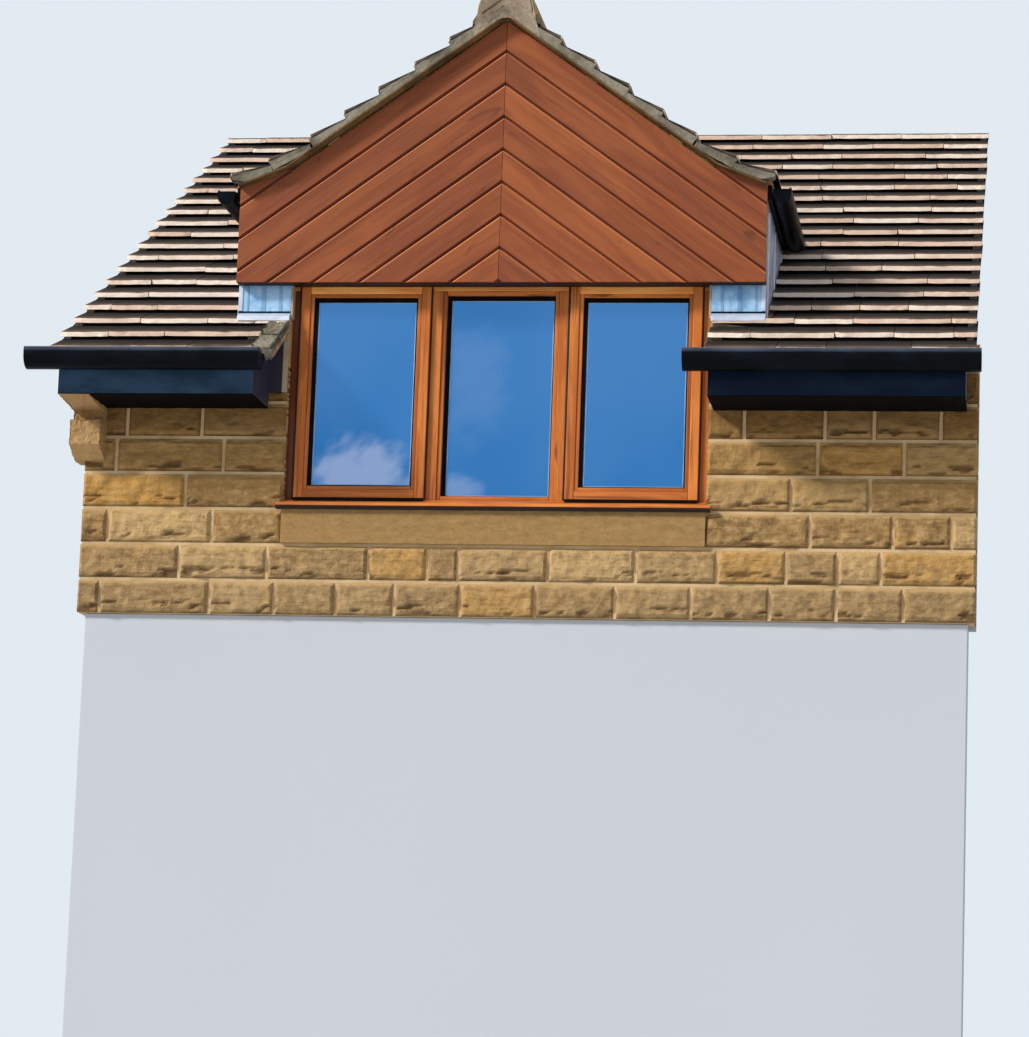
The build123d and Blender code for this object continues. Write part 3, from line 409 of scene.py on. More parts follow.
def black_plastic(name, colours, rough, fascia=False):
    """Glossy black rainwater goods with a film of dust in places, whose paler tone is also a
    painted sheen. The fascias' navy and a paler blue band on the left one are a painted sky
    reflection, a soffit is painted nearly black as shade, the gutters' rim takes a painted
    highlight, and the one exposed end is a dull grey."""
    base, dust_and_sheen = colours.split()
    made = Finish(name, base, Specular_IOR_Level=0.05)
    dust = made.noise(made.place(stretch=(4, 4, 12)), 1.0, 5, 0.6)
    x, _, z = made.split(made.place())
    made.paint(dust_and_sheen, dust, 0.4, 0.8)
    if fascia:
        left = made.step(x, 0.0, -0.5)
        soffit = made.step(z, SOFFIT_LEVEL + 0.004, SOFFIT_LEVEL + 0.002)
        # Painted sky reflection: a paler blue on the left fascia.
        made.paint("42607c", left * made.step(dust, 0.2, 0.7, 0.2, 0.7))
        made.paint("3c3948", left * made.step(x, -0.9615, -0.9605))
        # Painted shade: the soffit underneath is nearly black.
        made.paint("060608", soffit)
        rough = soffit * 0.4 + rough
    else:
        # Painted highlight along the gutters' top rim.
        rim = made.step(z, 1.016, 1.030) * made.step(z, 1.06, 1.05)
        made.paint("565e6e", rim * made.step(dust, 0.3, 0.7, 0.3, 0.8))
    return made.done(dust, 0.0008, Roughness=made.step(dust, 0.3, 0.8, 0.0, 0.15) + rough)


glass_finish = coated_glass()
# A pale blue line round the panes, as a painted reflection at the glass's edge.
edge_seal = sandy_finish("edge_seal", "96bee8 6ea0d7", 30, 0.0002)
gasket = gasket_rubber()
# The blue of the front panels and their welts stands in for sky light on the lead, as painted
# light; the white lead of the aprons and trims is painted sunlight.
lead_pale = lead_sheet("lead_pale", "a6cae8 76a4ce 466c98", 0.6)
lead_fold = lead_sheet("lead_fold", "86aed0 608cb6 40628c", 0.6)
lead_cheek = lead_sheet("lead_cheek", "d6dcec bac0d4 8a90a6", 0.5)
lead_grey = lead_sheet("lead_grey", "9ea4b2 7c8290 50545e")
lead_white = lead_sheet("lead_white", "d4deec becadc 8c98ac")
black_gloss = black_plastic("black_gloss", "06090e 101520", 0.3)
# Pale grey for the gutters' rolled lips, as a painted highlight.
worn_lip = black_plastic("worn_lip", "464c5a 686e7c", 0.35)
fascia_gloss = black_plastic("fascia_gloss", "101c2e 1c2a3e", 0.28, True)


# %% [markdown]
# ** Tiles.** A tile knows where each of its points lies: how far up from its nose and how far down
# from its top face. Noses are painted pale, partly their own colour and partly the light they
# catch.
# Up the tile, under the next course, and on its underside the colour is painted dark as shade.


# %% Roof tile finishes
def tile_finish(name, colours):
    nose, nose_other, top, top_other, dirt_and_shade = colours.split()
    made = Finish(name, top, Roughness=0.88, Specular_IOR_Level=0.2)
    up, under, _ = made.split(made.value("local", 1))
    pick = made.value("tone")
    grit = made.noise(made.place(), 120, 5, 0.7)
    patch = made.noise(made.place(stretch=(9, 9, 9)), 1.0, 4, 0.6)
    made.paint(top_other, pick)
    made.paint(dirt_and_shade, patch, 0.45, 0.7, 0.5)
    # Noses: pale, partly their own colour and partly painted light.
    edge = made.mix(made.step(pick + patch, 0.7, 1.3), nose, nose_other)
    made.colour = made.mix(made.step(up + patch * 0.010, 0.010, 0.016), edge, made.colour)
    # Painted shade: further up, where the next course covers the tile, and on its underside.
    made.paint(dirt_and_shade, up, 0.03, 0.09, 0.92)
    made.paint(dirt_and_shade, under, 0.3, 0.7)
    made.paint(dirt_and_shade, grit, 0.5, 0.75, 0.15)
    return made.done(grit + patch * 2, 0.003)


roof_tile = tile_finish(
    "roof_tile", "ffeede ecceb8 624c3c 46372d 14100e")
slope_tile = tile_finish(
    "slope_tile", "cebaa4 aa9682 706052 5c5046 26201c")
ridge_tile = sandy_finish("ridge_tile", "ccac76 967a54", 50, 0.004)
ridge_fill = sandy_finish("ridge_fill", "a69682 7e6e5c", 60, 0.005)
undercloak = sandy_finish("undercloak", "7a5e3a 463422", 60, 0.002)
block_grey = sandy_finish("block_grey", "acaaa4 9e9c96", 140, 0.0015)
block_joint = sandy_finish("block_joint", "928e86 7a766e", 140, 0.001)


# %% [markdown]
# ## A workbench for members
# Timbers, lead and trims are made from outlines drawn on a plane and carried along an axis. Sharp
# arrises are eased with a small bevel, since no real edge is perfectly sharp, and each member
# writes its own grain direction and a tone, so that neighbours differ.


# %% The workbench
def sideways(a, b, t):
    """Places an outline of depth and height that is carried along the facade."""
    return at(t, a, b)


def inwards(a, b, t):
    """Places an outline of x and height that is carried into the building."""
    return at(a, t, b)


def put(name, data):
    """Makes an object and links it to the scene."""
    made = bpy.data.objects.new(name, data)
    bpy.context.collection.objects.link(made)
    return made


class Bench:
    """Gathers members into one piece."""

    def __init__(self, seed=1):
        self.points, self.faces, self.slots = [], [], []
        self.grain, self.tones = [], []
        self.random = random.Random(seed)

    def take(self, shape, along, finish=0, shade=None):
        """Adds a bmesh, whose grain runs along the given direction."""
        start = len(self.points)
        along = Vector(along).normalized()
        side = along.orthogonal().normalized()
        axes = Matrix((along, side, along.cross(side)))
        shift = Vector([self.random.uniform(0, 40) for _ in range(3)])
        shade = self.random.random() if shade is None else shade
        for vert in shape.verts:
            self.points.append(vert.co.copy())
            self.grain.append(axes @ vert.co + shift)
            self.tones.append(shade)
        shape.verts.index_update()
        shape.normal_update()
        for face in shape.faces:
            self.faces.append([start + vert.index for vert in face.verts])
            self.slots.append(finish(face.normal) if callable(finish) else finish)
        shape.free()

    def prism(self, outline, place, start, end, along, ease=0.0015, finish=0, shade=None, cuts=()):
        """An outline of two numbers carried from start to end; place makes a point of the three."""
        shape = bmesh.new()
        rings = [[shape.verts.new(place(a, b, t)) for a, b in outline] for t in (start, end)]
        count = len(outline)
        for i in range(count):
            j = (i + 1) % count
            shape.faces.new((rings[0][i], rings[0][j], rings[1][j], rings[1][i]))
        shape.faces.new(rings[0][::-1])
        shape.faces.new(rings[1])
        for point, normal in cuts:
            geometry = shape.verts[:] + shape.edges[:] + shape.faces[:]
            cut = bmesh.ops.bisect_plane(shape, geom=geometry, plane_co=point, plane_no=normal,
                                         clear_outer=True)
            rim = [item for item in cut["geom_cut"] if isinstance(item, bmesh.types.BMEdge)]
            if rim:
                bmesh.ops.contextual_create(shape, geom=rim)
        if not shape.faces:
            shape.free()
            return
        bmesh.ops.remove_doubles(shape, verts=shape.verts, dist=0.00001)
        bmesh.ops.recalc_face_normals(shape, faces=shape.faces)
        if ease:
            sharp = [e for e in shape.edges if len(e.link_faces) == 2
                     and e.calc_face_angle(0) > math.radians(25)]
            bmesh.ops.bevel(shape, geom=sharp, offset=ease, segments=2, profile=0.5,
                            affect="EDGES", clamp_overlap=True)
        self.take(shape, along, finish, shade)

    def bar(self, x0, x1, d0, d1, z0, z1, ease=0.0015, finish=0, along=None, shade=None):
        """A squared length; the grain follows its longest side."""
        sizes = (abs(x1 - x0), d1 - d0, z1 - z0)
        if along is None:
            along = [(1, 0, 0), (0, 1, 0), (0, 0, 1)][sizes.index(max(sizes))]
        outline = [(x0, z0), (x1, z0), (x1, z1), (x0, z1)]
        self.prism(outline, inwards, d0, d1, along, ease, finish, shade)

    def bars(self, *rows):
        """The same bars on both sides of the middle."""
        for way in (-1, 1):
            for x0, x1, *rest in rows:
                self.bar(way * x0, way * x1, *rest)

    def lay(self, name, finishes):
        """Turns what lies on the bench into an object."""
        mesh = bpy.data.meshes.new(name)
        mesh.from_pydata(self.points, [], self.faces)
        for finish in finishes:
            mesh.materials.append(finish)
        mesh.polygons.foreach_set("material_index", self.slots)
        grain = mesh.attributes.new("grain", "FLOAT_VECTOR", "POINT")
        grain.data.foreach_set("vector", [n for v in self.grain for n in v])
        tones = mesh.attributes.new("tone", "FLOAT", "POINT")
        tones.data.foreach_set("value", self.tones)
        mesh.update()
        return put(name, mesh)

    def piece(self, name, finishes, slot, *replaced):
        """Makes it a piece of the model too."""
        return enrol(self.lay(name, finishes), slot, *replaced)


def enrol(made, slot, *replaced):
    """Makes an object a piece of the model, in place of the nodes that it stands for."""
    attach(made, "root")
    if replaced:
        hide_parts(*replaced)
    mesh = made.data
    mesh.calc_loop_triangles()
    print(made.name, len(mesh.loop_triangles), "triangles")
    return made


# %% [markdown]
# ## Trees for what repeats
# Stones, blocks and tiles repeat by a rule, so each kind is one Geometry Nodes tree. A cloud of
# points carries the size and tone of every member, the tree puts a blank on each point, makes it
# real and then weathers it. The result is turned into a plain mesh and the modifier goes.


# %% Making and settling a tree
class Recipe(Tree):
    """A Geometry Nodes tree with named inputs, whose result wears one material."""

    def __init__(self, name, material):
        super().__init__(bpy.data.node_groups.new(name, "GeometryNodeTree"))
        self.material = material
        self.keys = {}
        for way in ("INPUT", "OUTPUT"):
            self.group.interface.new_socket("Geometry", in_out=way,
                                            socket_type="NodeSocketGeometry")
        self.entry = self.group.nodes.new("NodeGroupInput")
        self.exit = self.group.nodes.new("NodeGroupOutput")

    def input(self, name, kind="Float"):
        made = self.group.interface.new_socket(name, in_out="INPUT",
                                               socket_type=f"NodeSocket{kind}")
        self.keys[name] = made.identifier
        return Wire(self, self.entry.outputs[name])

    def given(self):
        """The geometry that comes in."""
        return Wire(self, self.entry.outputs[0])

    def named(self, name, kind="FLOAT"):
        return self.node("GeometryNodeInputNamedAttribute", {"data_type": kind}, {"Name": name})

    def store(self, geometry, name, value, kind="FLOAT"):
        return self.node("GeometryNodeStoreNamedAttribute", {"data_type": kind}, {
            "Geometry": geometry, "Name": name, "Value": value})

    def position(self):
        return self.node("GeometryNodeInputPosition")

    def move(self, geometry, **how):
        return self.node("GeometryNodeSetPosition", {}, {"Geometry": geometry, **how})

    def along(self, vector, amount):
        return self.node("ShaderNodeVectorMath", {"operation": "SCALE"},
                         {"Vector": vector, "Scale": amount})

    def plus(self, one, other):
        return self.node("ShaderNodeVectorMath", {"operation": "ADD"}, {0: one, 1: other})

    def real(self, geometry):
        return self.node("GeometryNodeRealizeInstances", {}, {"Geometry": geometry})

    def scatter(self, blank, **how):
        """Sets a blank on each point and makes it real."""
        return self.real(self.node("GeometryNodeInstanceOnPoints", {}, {
            "Points": self.given(), "Instance": blank, **how}))

    def finish(self, geometry):
        painted = self.node("GeometryNodeSetMaterial", {}, {
            "Geometry": self.real(geometry), "Material": self.material})
        self.group.links.new(painted.socket, self.exit.inputs[0])
        return self


def settle(made, recipe, values):
    """Runs a tree on an object and keeps only the mesh that comes out."""
    modifier = made.modifiers.new(recipe.group.name, "NODES")
    modifier.node_group = recipe.group
    for name, value in values.items():
        modifier[recipe.keys[name]] = value
    graph = bpy.context.evaluated_depsgraph_get()
    mesh = bpy.data.meshes.new_from_object(made.evaluated_get(graph), depsgraph=graph,
                                           preserve_all_data_layers=True)
    made.modifiers.clear()
    made.data = mesh
    mesh.name = made.name
    return made


def cloud(name, rows):
    """Points with attributes: each row is a place and the numbers that belong to it."""
    mesh = bpy.data.meshes.new(name)
    mesh.from_pydata([row["place"] for row in rows], [], [])
    for key in rows[0]:
        if key == "place":
            continue
        vector = not isinstance(rows[0][key], float)
        layer = mesh.attributes.new(key, "FLOAT_VECTOR" if vector else "FLOAT", "POINT")
        values = [row[key] for row in rows]
        flat = [n for v in values for n in v] if vector else values
        layer.data.foreach_set("vector" if vector else "value", flat)
    return put(name, mesh)


# %% [markdown]
# Mortar and rock-faced blocks start as plain prisms. One tree cuts their faces up and rubs them
# back with noise, always inwards, so that a lump never grows past its outline.


# %% A tree for rough lumps
def rough_lump(name, material):
    tree = Recipe(name, material)
    depth, scale, level = tree.input("Depth"), tree.input("Scale"), tree.input("Level", "Int")
    fine = tree.node("GeometryNodeSubdivideMesh", {}, {"Mesh": tree.given(), "Level": level})
    normal = tree.node("GeometryNodeInputNormal")
    back = (tree.noise(tree.position(), scale, 4, 0.6) - 0.75).least(0.0) * depth * 2
    return tree.finish(tree.move(fine, Offset=tree.along(normal, back)))


def rub(bench, name, recipe, depth, scale, level, slot="mortar", *replaced):
    """Lays out what is on a bench, roughens it with a tree and makes it a piece."""
    made = settle(bench.lay(name, [recipe.material]), recipe,
                  {"Depth": depth, "Scale": scale, "Level": level})
    return enrol(made, slot, *replaced)


rough_mortar = rough_lump("rough_mortar", verge_mortar)
rough_fill = rough_lump("rough_fill", ridge_fill)
rough_stone = rough_lump("rough_stone", kneeler_stone)

# %% [markdown]
# ## The stone wall
# Walling stones in 150 mm courses, with pitched faces: the middle of a stone is left proud and
# rough, and a chisel has driven its margins back to the joint. The tree starts from a finely cut
# block, pushes the front out away from its margins and breaks it up with noise.


# %% A tree for pitched stones
def pitched_stones(material):
    tree = Recipe("pitched_stones", material)
    proud, margin, rough, seed = map(tree.input, ("Proud", "Margin", "Roughness", "Seed"))
    block = tree.node("GeometryNodeMeshCube", {}, {
        "Size": (1, 1, 1), "Vertices X": 36, "Vertices Y": 3, "Vertices Z": 14})
    size = tree.named("size", "FLOAT_VECTOR")
    real = tree.scatter(tree.store(block, "local", tree.position(), "FLOAT_VECTOR"), Scale=size)
    x, y, z = tree.split(tree.named("local", "FLOAT_VECTOR"))
    long, _, high = tree.split(size)
    side = (0.5 - abs(x)) * long
    level = (0.5 - abs(z)) * high
    outer = tree.step(y, -0.3, -0.49)
    where = tree.plus(tree.position(), tree.join(tree.named("tone") * 37 + seed, 0, 0))
    broad = tree.noise(where, 9, 2)
    facet = tree.noise(where, 17, 1.5)
    across, _, upward = tree.split(where)
    notch = tree.noise(tree.join(across * 7, 0, upward * 30), 1.0, 2)
    notch = tree.step(notch, 0.54, 0.63) * tree.step(z, -0.05, -0.26) * outer
    near = (side * 1.7).least(level) + (broad - 0.5) * margin
    rise = tree.step(near, 0.002, margin)
    out = rise * (proud * (0.4 + broad) + (facet - 0.5 - notch * 0.6) * rough)
    out = out.most(-0.0008) * outer
    fray = (tree.noise(where, 60, 3) - 0.5) * 0.003 * outer
    moved = tree.move(real, Offset=tree.join(fray, out * -1, fray))
    # The notches are stored as pit; the finish paints them darker, as shade.
    return tree.finish(tree.store(moved, "pit", notch))


stones_tree = pitched_stones(pitched_stone)
print(len(stones_tree.group.nodes), "nodes in the stone tree")

# %% [markdown]
# The wall's layout is written course by course from the joints' places along it. A stone at a
# corner or a jamb ends with the wall; the bed joints line up with the courses of the sill.


# %% Laying out the walling
stone_random = random.Random(7)
STONE_GAP = 0.014
GOLDEN = ((1, -0.39), (1, 1.07), (1, 1.75), (3, -1.5), (0, 0.0), (4, 1.5))


def stone_row(course, joints, height=COURSE - STONE_GAP, depth=0.087, front=0.011):
    """Stones of one course between the given joints."""
    rows = []
    for left, right in zip(joints, joints[1:]):
        gap_left = 0 if left == joints[0] else STONE_GAP / 2
        gap_right = 0 if right == joints[-1] else STONE_GAP / 2
        x0, x1 = left + gap_left, right - gap_right
        lift = 0.0015 if course == 0 else 0.0
        place = at((x0 + x1) / 2, front + depth / 2, course * COURSE + (height + lift) / 2)
        size = (x1 - x0, depth, height - lift)
        golden = any(row == course and x0 < x < x1 for row, x in GOLDEN)
        shade = 0.97 if golden else stone_random.uniform(0.0, 0.8)
        rows.append({"place": place, "size": size, "tone": shade})
    return rows


# The joints within each course: two courses below the sill, then those left and right of it.
BELOW = ((-1.641, -1.174, -0.900, -0.640, -0.395, -0.120, 0.190, 0.520, 0.830, 1.150, 1.420, 1.690),
         (-1.310, -0.937, -0.509, -0.263, -0.133, 0.238, 0.600, 0.934, 1.214, 1.422, 1.598))
BESIDE = (((-1.622, -1.178), (1.308, 1.644, 1.879)), ((-1.298,), (1.228, 1.548)),
          ((-1.600, -1.142), (1.333, 1.684)), ((-1.560, -1.240), (1.030, 1.360, 1.560, 1.830)),
          ((-1.33,), (1.25, 1.6)))
TOP_STONE = 0.134
stone_rows = []
for course, joints in enumerate(BELOW):
    stone_rows += stone_row(course, (-WALL_LEFT, *joints, WALL_RIGHT))
for course, (left, right) in enumerate(BESIDE, len(BELOW)):
    height = TOP_STONE if course == 6 else COURSE - STONE_GAP
    stone_rows += stone_row(course, (-WALL_LEFT, *left, -OPENING), height)
    stone_rows += stone_row(course, (OPENING, *right, WALL_RIGHT), height)
walling = settle(cloud("walling_stones", stone_rows), stones_tree,
                 {"Proud": 0.014, "Margin": 0.018, "Roughness": 0.026, "Seed": 3.0})
enrol(walling, "stone", "stone_wall_below", "stone_wall_left", "stone_wall_right")

# %% [markdown]
# Mortar fills the joints a few millimetres behind the stones' margins. It is one slab behind each
# stretch of wall, with its face rubbed by noise in its finish.

# %% Mortar behind the walling
BED_FRONT, BED_BACK, BED_TOP, BED_INSET = 0.0125, 0.099, 1.034, 0.004
mortar_bench = Bench(11)
for x0, x1, z0, z1 in ((-WALL_LEFT + BED_INSET, WALL_RIGHT - BED_INSET, 0.0, 2 * COURSE),
                       (-WALL_LEFT + BED_INSET, -OPENING, 2 * COURSE, BED_TOP),
                       (OPENING, WALL_RIGHT - BED_INSET, 2 * COURSE, BED_TOP)):
    mortar_bench.bar(x0, x1, BED_FRONT, BED_BACK, z0, z1, 0)
mortar_bench.piece("wall_mortar_beds", [wall_mortar], "mortar")

# %% [markdown]
# ## The tiled slopes
# Every course is a row of separate tiles of mixed widths. A tile's nose is a thin pale lip with a
# dark hollow beneath it, and its top falls back under the next course. The blank is drawn once in
# section; the tree sets one on each point, frays the noses, ripples the faces and trims what
# passes the valleys, by moving those points back to the line.


# %% The tile blank
def tile_blank(columns=8):
    """One tile of unit width: x across, y up the slope from the nose, z out of the slope."""
    fall = 0.0326 / GAUGE
    section = [(-0.004, -0.0182, 0), (0.006, -0.0036, 0), (0.010, -0.0022, 0),
               (0.060, -0.060 * fall, 0), (0.120, -0.120 * fall, 0), (0.180, -0.180 * fall, 0),
               (0.265, -0.036, 1), (0.265, -0.0395, 1), (0.193, -0.0395, 1),
               (-0.002, -0.0196, 1)]
    shape = bmesh.new()
    local = shape.verts.layers.float_vector.new("local")
    rings = []
    for column in range(columns + 1):
        across = column / columns
        ring = []
        for up, out, under in section:
            vert = shape.verts.new((across, up, out))
            vert[local] = (up, under, across)
            ring.append(vert)
        rings.append(ring)
    for one, other in zip(rings, rings[1:]):
        for i in range(len(section)):
            j = (i + 1) % len(section)
            shape.faces.new((one[i], one[j], other[j], other[i]))
    shape.faces.new(rings[0])
    shape.faces.new(rings[-1])
    bmesh.ops.recalc_face_normals(shape, faces=shape.faces)
    mesh = bpy.data.meshes.new("tile_blank")
    shape.to_mesh(mesh)
    shape.free()
    return bpy.data.objects.new("tile_blank", mesh)


blank = tile_blank()


# %% A tree for tiled slopes
def tiled_slope(name, trim, material):
    """The tree for one kind of slope: trim gives each point its place after cutting."""
    tree = Recipe(name, material)
    fray, lift = tree.input("Fray"), tree.input("Lift")
    source = tree.node("GeometryNodeObjectInfo", {}, {"Object": blank, "As Instance": True}, 4)
    width, turn = tree.named("width"), tree.named("turn", "FLOAT_VECTOR")
    real = tree.scatter(source, Rotation=turn, Scale=tree.join(width, 1, 1))
    up, _, across = tree.split(tree.named("local", "FLOAT_VECTOR"))
    slope, out = (tree.node("FunctionNodeRotateVector", {}, {"Vector": axis, "Rotation": turn})
                  for axis in ((0, 1, 0), (0, 0, 1)))
    where = tree.plus(tree.position(), tree.join(0, 0, tree.named("tone") * 9))
    ragged = (tree.noise(where, 45, 3, 0.6) - 0.5) * tree.step(up, 0.05, 0.0)
    corner = tree.step(abs(across - 0.5), 0.42, 0.5) * tree.step(up, 0.03, 0.0)
    ripple = (tree.noise(where, 18, 2) - 0.5) * tree.step(up, 0.2, 0.1)
    rise = tree.named("tone") * lift * (1 - up * 5)
    along = ragged * fray + corner * fray * 0.4 + (tree.named("slip") - 0.5) * fray
    offset = tree.plus(tree.along(slope, along), tree.along(out, ripple * lift + rise - lift))
    moved = tree.move(real, Offset=offset)
    x, y, z = tree.split(tree.position())
    cut = tree.move(moved, Position=trim(tree, x, y - FACE, z, slope))
    return tree.finish(tree.node("GeometryNodeMergeByDistance", {}, {
        "Geometry": cut, "Distance": 0.00005}))


EDGE_START = main_depth(dormer_z(GABLE_HALF))
KNEE_START = main_depth(dormer_z(FOOT_START))
RIDGE_START = main_depth(RIDGE_LEVEL)
VALLEY_HALF = 0.045
FOOT_GAIN = (GABLE_HALF - FOOT_START) / (KNEE_START - EDGE_START)
MAIN_GAIN = FOOT_START / (RIDGE_START - KNEE_START)


def pull_back(tree, slope, x, y, z, over):
    """Moves a point down its slope by a distance."""
    return tree.plus(tree.join(x, y + FACE, z), tree.along(slope, over * -1))


def trim_main(tree, x, depth, z, slope):
    """The main roof stops at the wall's face, the cheek, the valleys and the model's top edge."""
    front = depth - VALLEY_HALF
    foot = GABLE_HALF - (front - EDGE_START) * FOOT_GAIN
    upper = FOOT_START - (front - KNEE_START) * MAIN_GAIN
    limit = foot.most(upper).least(GABLE_HALF + 0.004).most(0.0) * (depth > 0.0)
    at_wall = (depth + 0.002).most(0.0) * (abs(x) < GABLE_HALF) * (depth < 0.3)
    over = ((depth - ROOF_TOP).most(0.0) + at_wall) / math.cos(MAIN_PITCH)
    return pull_back(tree, slope, abs(x).most(limit) * x.sign(), depth, z, over)


def trim_dormer(tree, x, depth, z, slope):
    """The dormer's courses stop at the valley, and at the ridge."""
    reach = x * tree.input("Side")
    foot = EDGE_START + (GABLE_HALF - reach) / FOOT_GAIN
    upper = KNEE_START + (FOOT_START - reach) / MAIN_GAIN
    limit = foot.most(upper) - VALLEY_HALF
    over = (0.012 - reach).most(0.0) / math.cos(DORMER_PITCH)
    return pull_back(tree, slope, x, depth.least(limit), z, over)


main_tree = tiled_slope("main_courses", trim_main, roof_tile)
dormer_tree = tiled_slope("dormer_courses", trim_dormer, slope_tile)
print(len(main_tree.group.nodes), "nodes in the tile tree")

# %% [markdown]
# The courses are set out as a roofer does it: the first nose hangs over the gutter and the next
# ones follow at the gauge. Every other course starts with a cut tile and the widths are mixed, so
# that the side joints of one course seldom fall on those of the course below.

# %% Setting out the courses
tile_random = random.Random(21)
WIDTHS, TILE_GAP = (0.20, 0.24, 0.29, 0.34, 0.40), 0.003


def course_tiles(origin, across, turn, length, first):
    """Tiles side by side from an origin, until the length is filled."""
    rows, gone, width = [], 0.0, first
    while gone < length - 0.03:
        width = min(width, length - gone)
        if length - gone - width < 0.09:
            width = length - gone
        rows.append({"place": origin + across * (gone + TILE_GAP / 2), "width": width - TILE_GAP,
                     "turn": tuple(turn), "tone": tile_random.random(),
                     "slip": tile_random.random()})
        gone += width
        width = tile_random.choice(WIDTHS)
    return rows


def valley_x(depth):
    """Distance from the middle at which the main roof meets the dormer's slope."""
    if depth <= EDGE_START:
        return GABLE_HALF
    foot = GABLE_HALF - (depth - EDGE_START) * FOOT_GAIN
    return max(foot, FOOT_START - (depth - KNEE_START) * MAIN_GAIN, 0.0)


MAIN_TURN = Matrix.Rotation(MAIN_PITCH, 3, "X").to_euler()
STEP = GAUGE * math.cos(MAIN_PITCH)
SIDES = (("left", -1), ("right", 1))
COURSE_COUNT = math.ceil((ROOF_TOP + EAVES_EDGE) / STEP)
LEFT_VERGE, RIGHT_VERGE, LUMP_END, ROOF_GAP = 1.818, 1.975, 0.975, 0.004


def on_main(x, depth, up, out):
    """A point on the main roof: up the slope from a nose and out from the plane."""
    rise, run = math.sin(MAIN_PITCH), math.cos(MAIN_PITCH)
    return at(x, depth + up * run - out * rise, main_z(depth) + up * rise + out * run)


for side, way in SIDES:
    verge = LEFT_VERGE if way < 0 else RIGHT_VERGE
    field = []
    pointing = Bench(17 + way)
    for course in range(COURSE_COUNT):
        depth = -EAVES_EDGE + course * STEP
        start = OPENING + ROOF_GAP
        if depth >= 0:
            start = valley_x(depth + STEP) + ROOF_GAP * (depth < EDGE_START)
        if way < 0 and course < 2:
            start = LUMP_END - 0.012
        length = verge - start + tile_random.uniform(-0.006, 0.0)
        first = tile_random.choice(WIDTHS) * (0.6 if course % 2 else 1.0)
        origin = at(start if way > 0 else -start - length, depth, main_z(depth))
        field += course_tiles(origin, Vector((1, 0, 0)), MAIN_TURN, length, first)
        ends = [(verge - 0.045, verge - tile_random.uniform(0.008, 0.016))]
        if depth < 0:
            ends.append((start + 0.004, start + 0.06))
        stop = (at(0, ROOF_TOP - 0.002, 0), Vector((0, 1, 0)))
        for near, far in ends:
            pointing.prism([(0.004, -0.0395), (0.178, -0.0395), (0.004, -0.0215)],
                           lambda a, b, t: on_main(way * t, depth, a, b), near, far, (1, 0, 0),
                           0, cuts=[stop])
    roof = settle(cloud(f"main_roof_{side}", field), main_tree, {"Fray": 0.010, "Lift": 0.003})
    enrol(roof, "tiles", f"main_tiles_{side}", f"valley_tiles_{side}")
    rub(pointing, f"verge_pointing_{side}", rough_mortar, 0.006, 60.0, 2)

lump = Bench(23)
for course in range(2):
    depth = -EAVES_EDGE + course * STEP
    lump.prism([(0.0, -0.038), (0.20, -0.038), (0.20, -0.010), (0.10, -0.008), (0.004, -0.003)],
               lambda a, b, t: on_main(t, depth, a, b), -LUMP_END, -0.884, (1, 0, 0), 0.004)
    for way in (-1, 1):
        lump.prism([(-0.004, -0.064), (0.178, -0.064), (0.178, -0.030), (-0.002, -0.014)],
                   lambda a, b, t: on_main(t, depth, a, b), way * 0.878, way * 0.912,
                   (1, 0, 0), 0.003)
rub(lump, "eaves_mortar_fill", rough_mortar, 0.012, 40.0, 4)

# %% The dormer's courses and its verge
VERGE_FRONT = TILES_FRONT + 0.009
CLOAK_X, CLOAK_TOP, CLOAK_LOW = (0.002, FOOT_START, GABLE_HALF), 0.0655, 0.0728
for side, way in SIDES:
    rows, x = [], DORMER_EDGE
    pointing = Bench(27 + way)
    while x > 0.02:
        after = max(x - GAUGE * math.cos(FOOT_PITCH if x > FOOT_START else DORMER_PITCH), 0.0)
        chord = Vector((-way * (x - after), 0, dormer_z(after) - dormer_z(x))).normalized()
        across = Vector((0, way, 0))
        normal = across.cross(chord)
        turn = Matrix((across, chord, normal)).transposed().to_euler()
        back = main_depth(dormer_z(after)) + 0.02
        length = back - VERGE_FRONT
        nose = at(way * x, 0, dormer_z(x))
        origin = nose + Vector((0, VERGE_FRONT if way > 0 else back, 0))
        rows += course_tiles(origin, across, turn, length, tile_random.choice(WIDTHS))
        front = TILES_FRONT + tile_random.uniform(0.0005, 0.0025)
        first, foot = (0.006, 0.056) if x == DORMER_EDGE else (-0.004, -0.004)
        pointing.prism([(first, -0.0185), (0.180, -0.0375), (0.184, -0.0375), (0.184, -0.066),
                        (foot, -0.066), (first, -0.036)],
                       lambda a, b, t: nose + chord * a + normal * b + Vector((0, t, 0)),
                       front, -0.045, (1, 0, 0), 0,
                       cuts=[(Vector((0, 0, 0)), Vector((-way, 0, 0)))])
        x = after
    slope = settle(cloud(f"dormer_roof_{side}", rows), dormer_tree,
                   {"Fray": 0.010, "Lift": 0.003, "Side": float(way)})
    enrol(slope, "tiles", f"dormer_tiles_{side}")
    rub(pointing, f"verge_mortar_{side}", rough_mortar, 0.006, 45.0, 3, "mortar", f"verge_{side}")
    cloak = Bench(29 + way)
    edge = [(way * x, dormer_z(x, CLOAK_TOP)) for x in CLOAK_X]
    edge += [(way * x, dormer_z(x, CLOAK_LOW)) for x in reversed(CLOAK_X)]
    cloak.prism(edge, inwards, TILES_FRONT + 0.0005, -0.043, (1, 0, 0), 0.001)
    cloak.piece(f"undercloak_{side}", [undercloak], "mortar")

# %% [markdown]
# Half-round ridge tiles butt end to end in mortar, and mortar beds their legs on the slopes. The
# first one is stopped with a full plug of mortar over the verge.

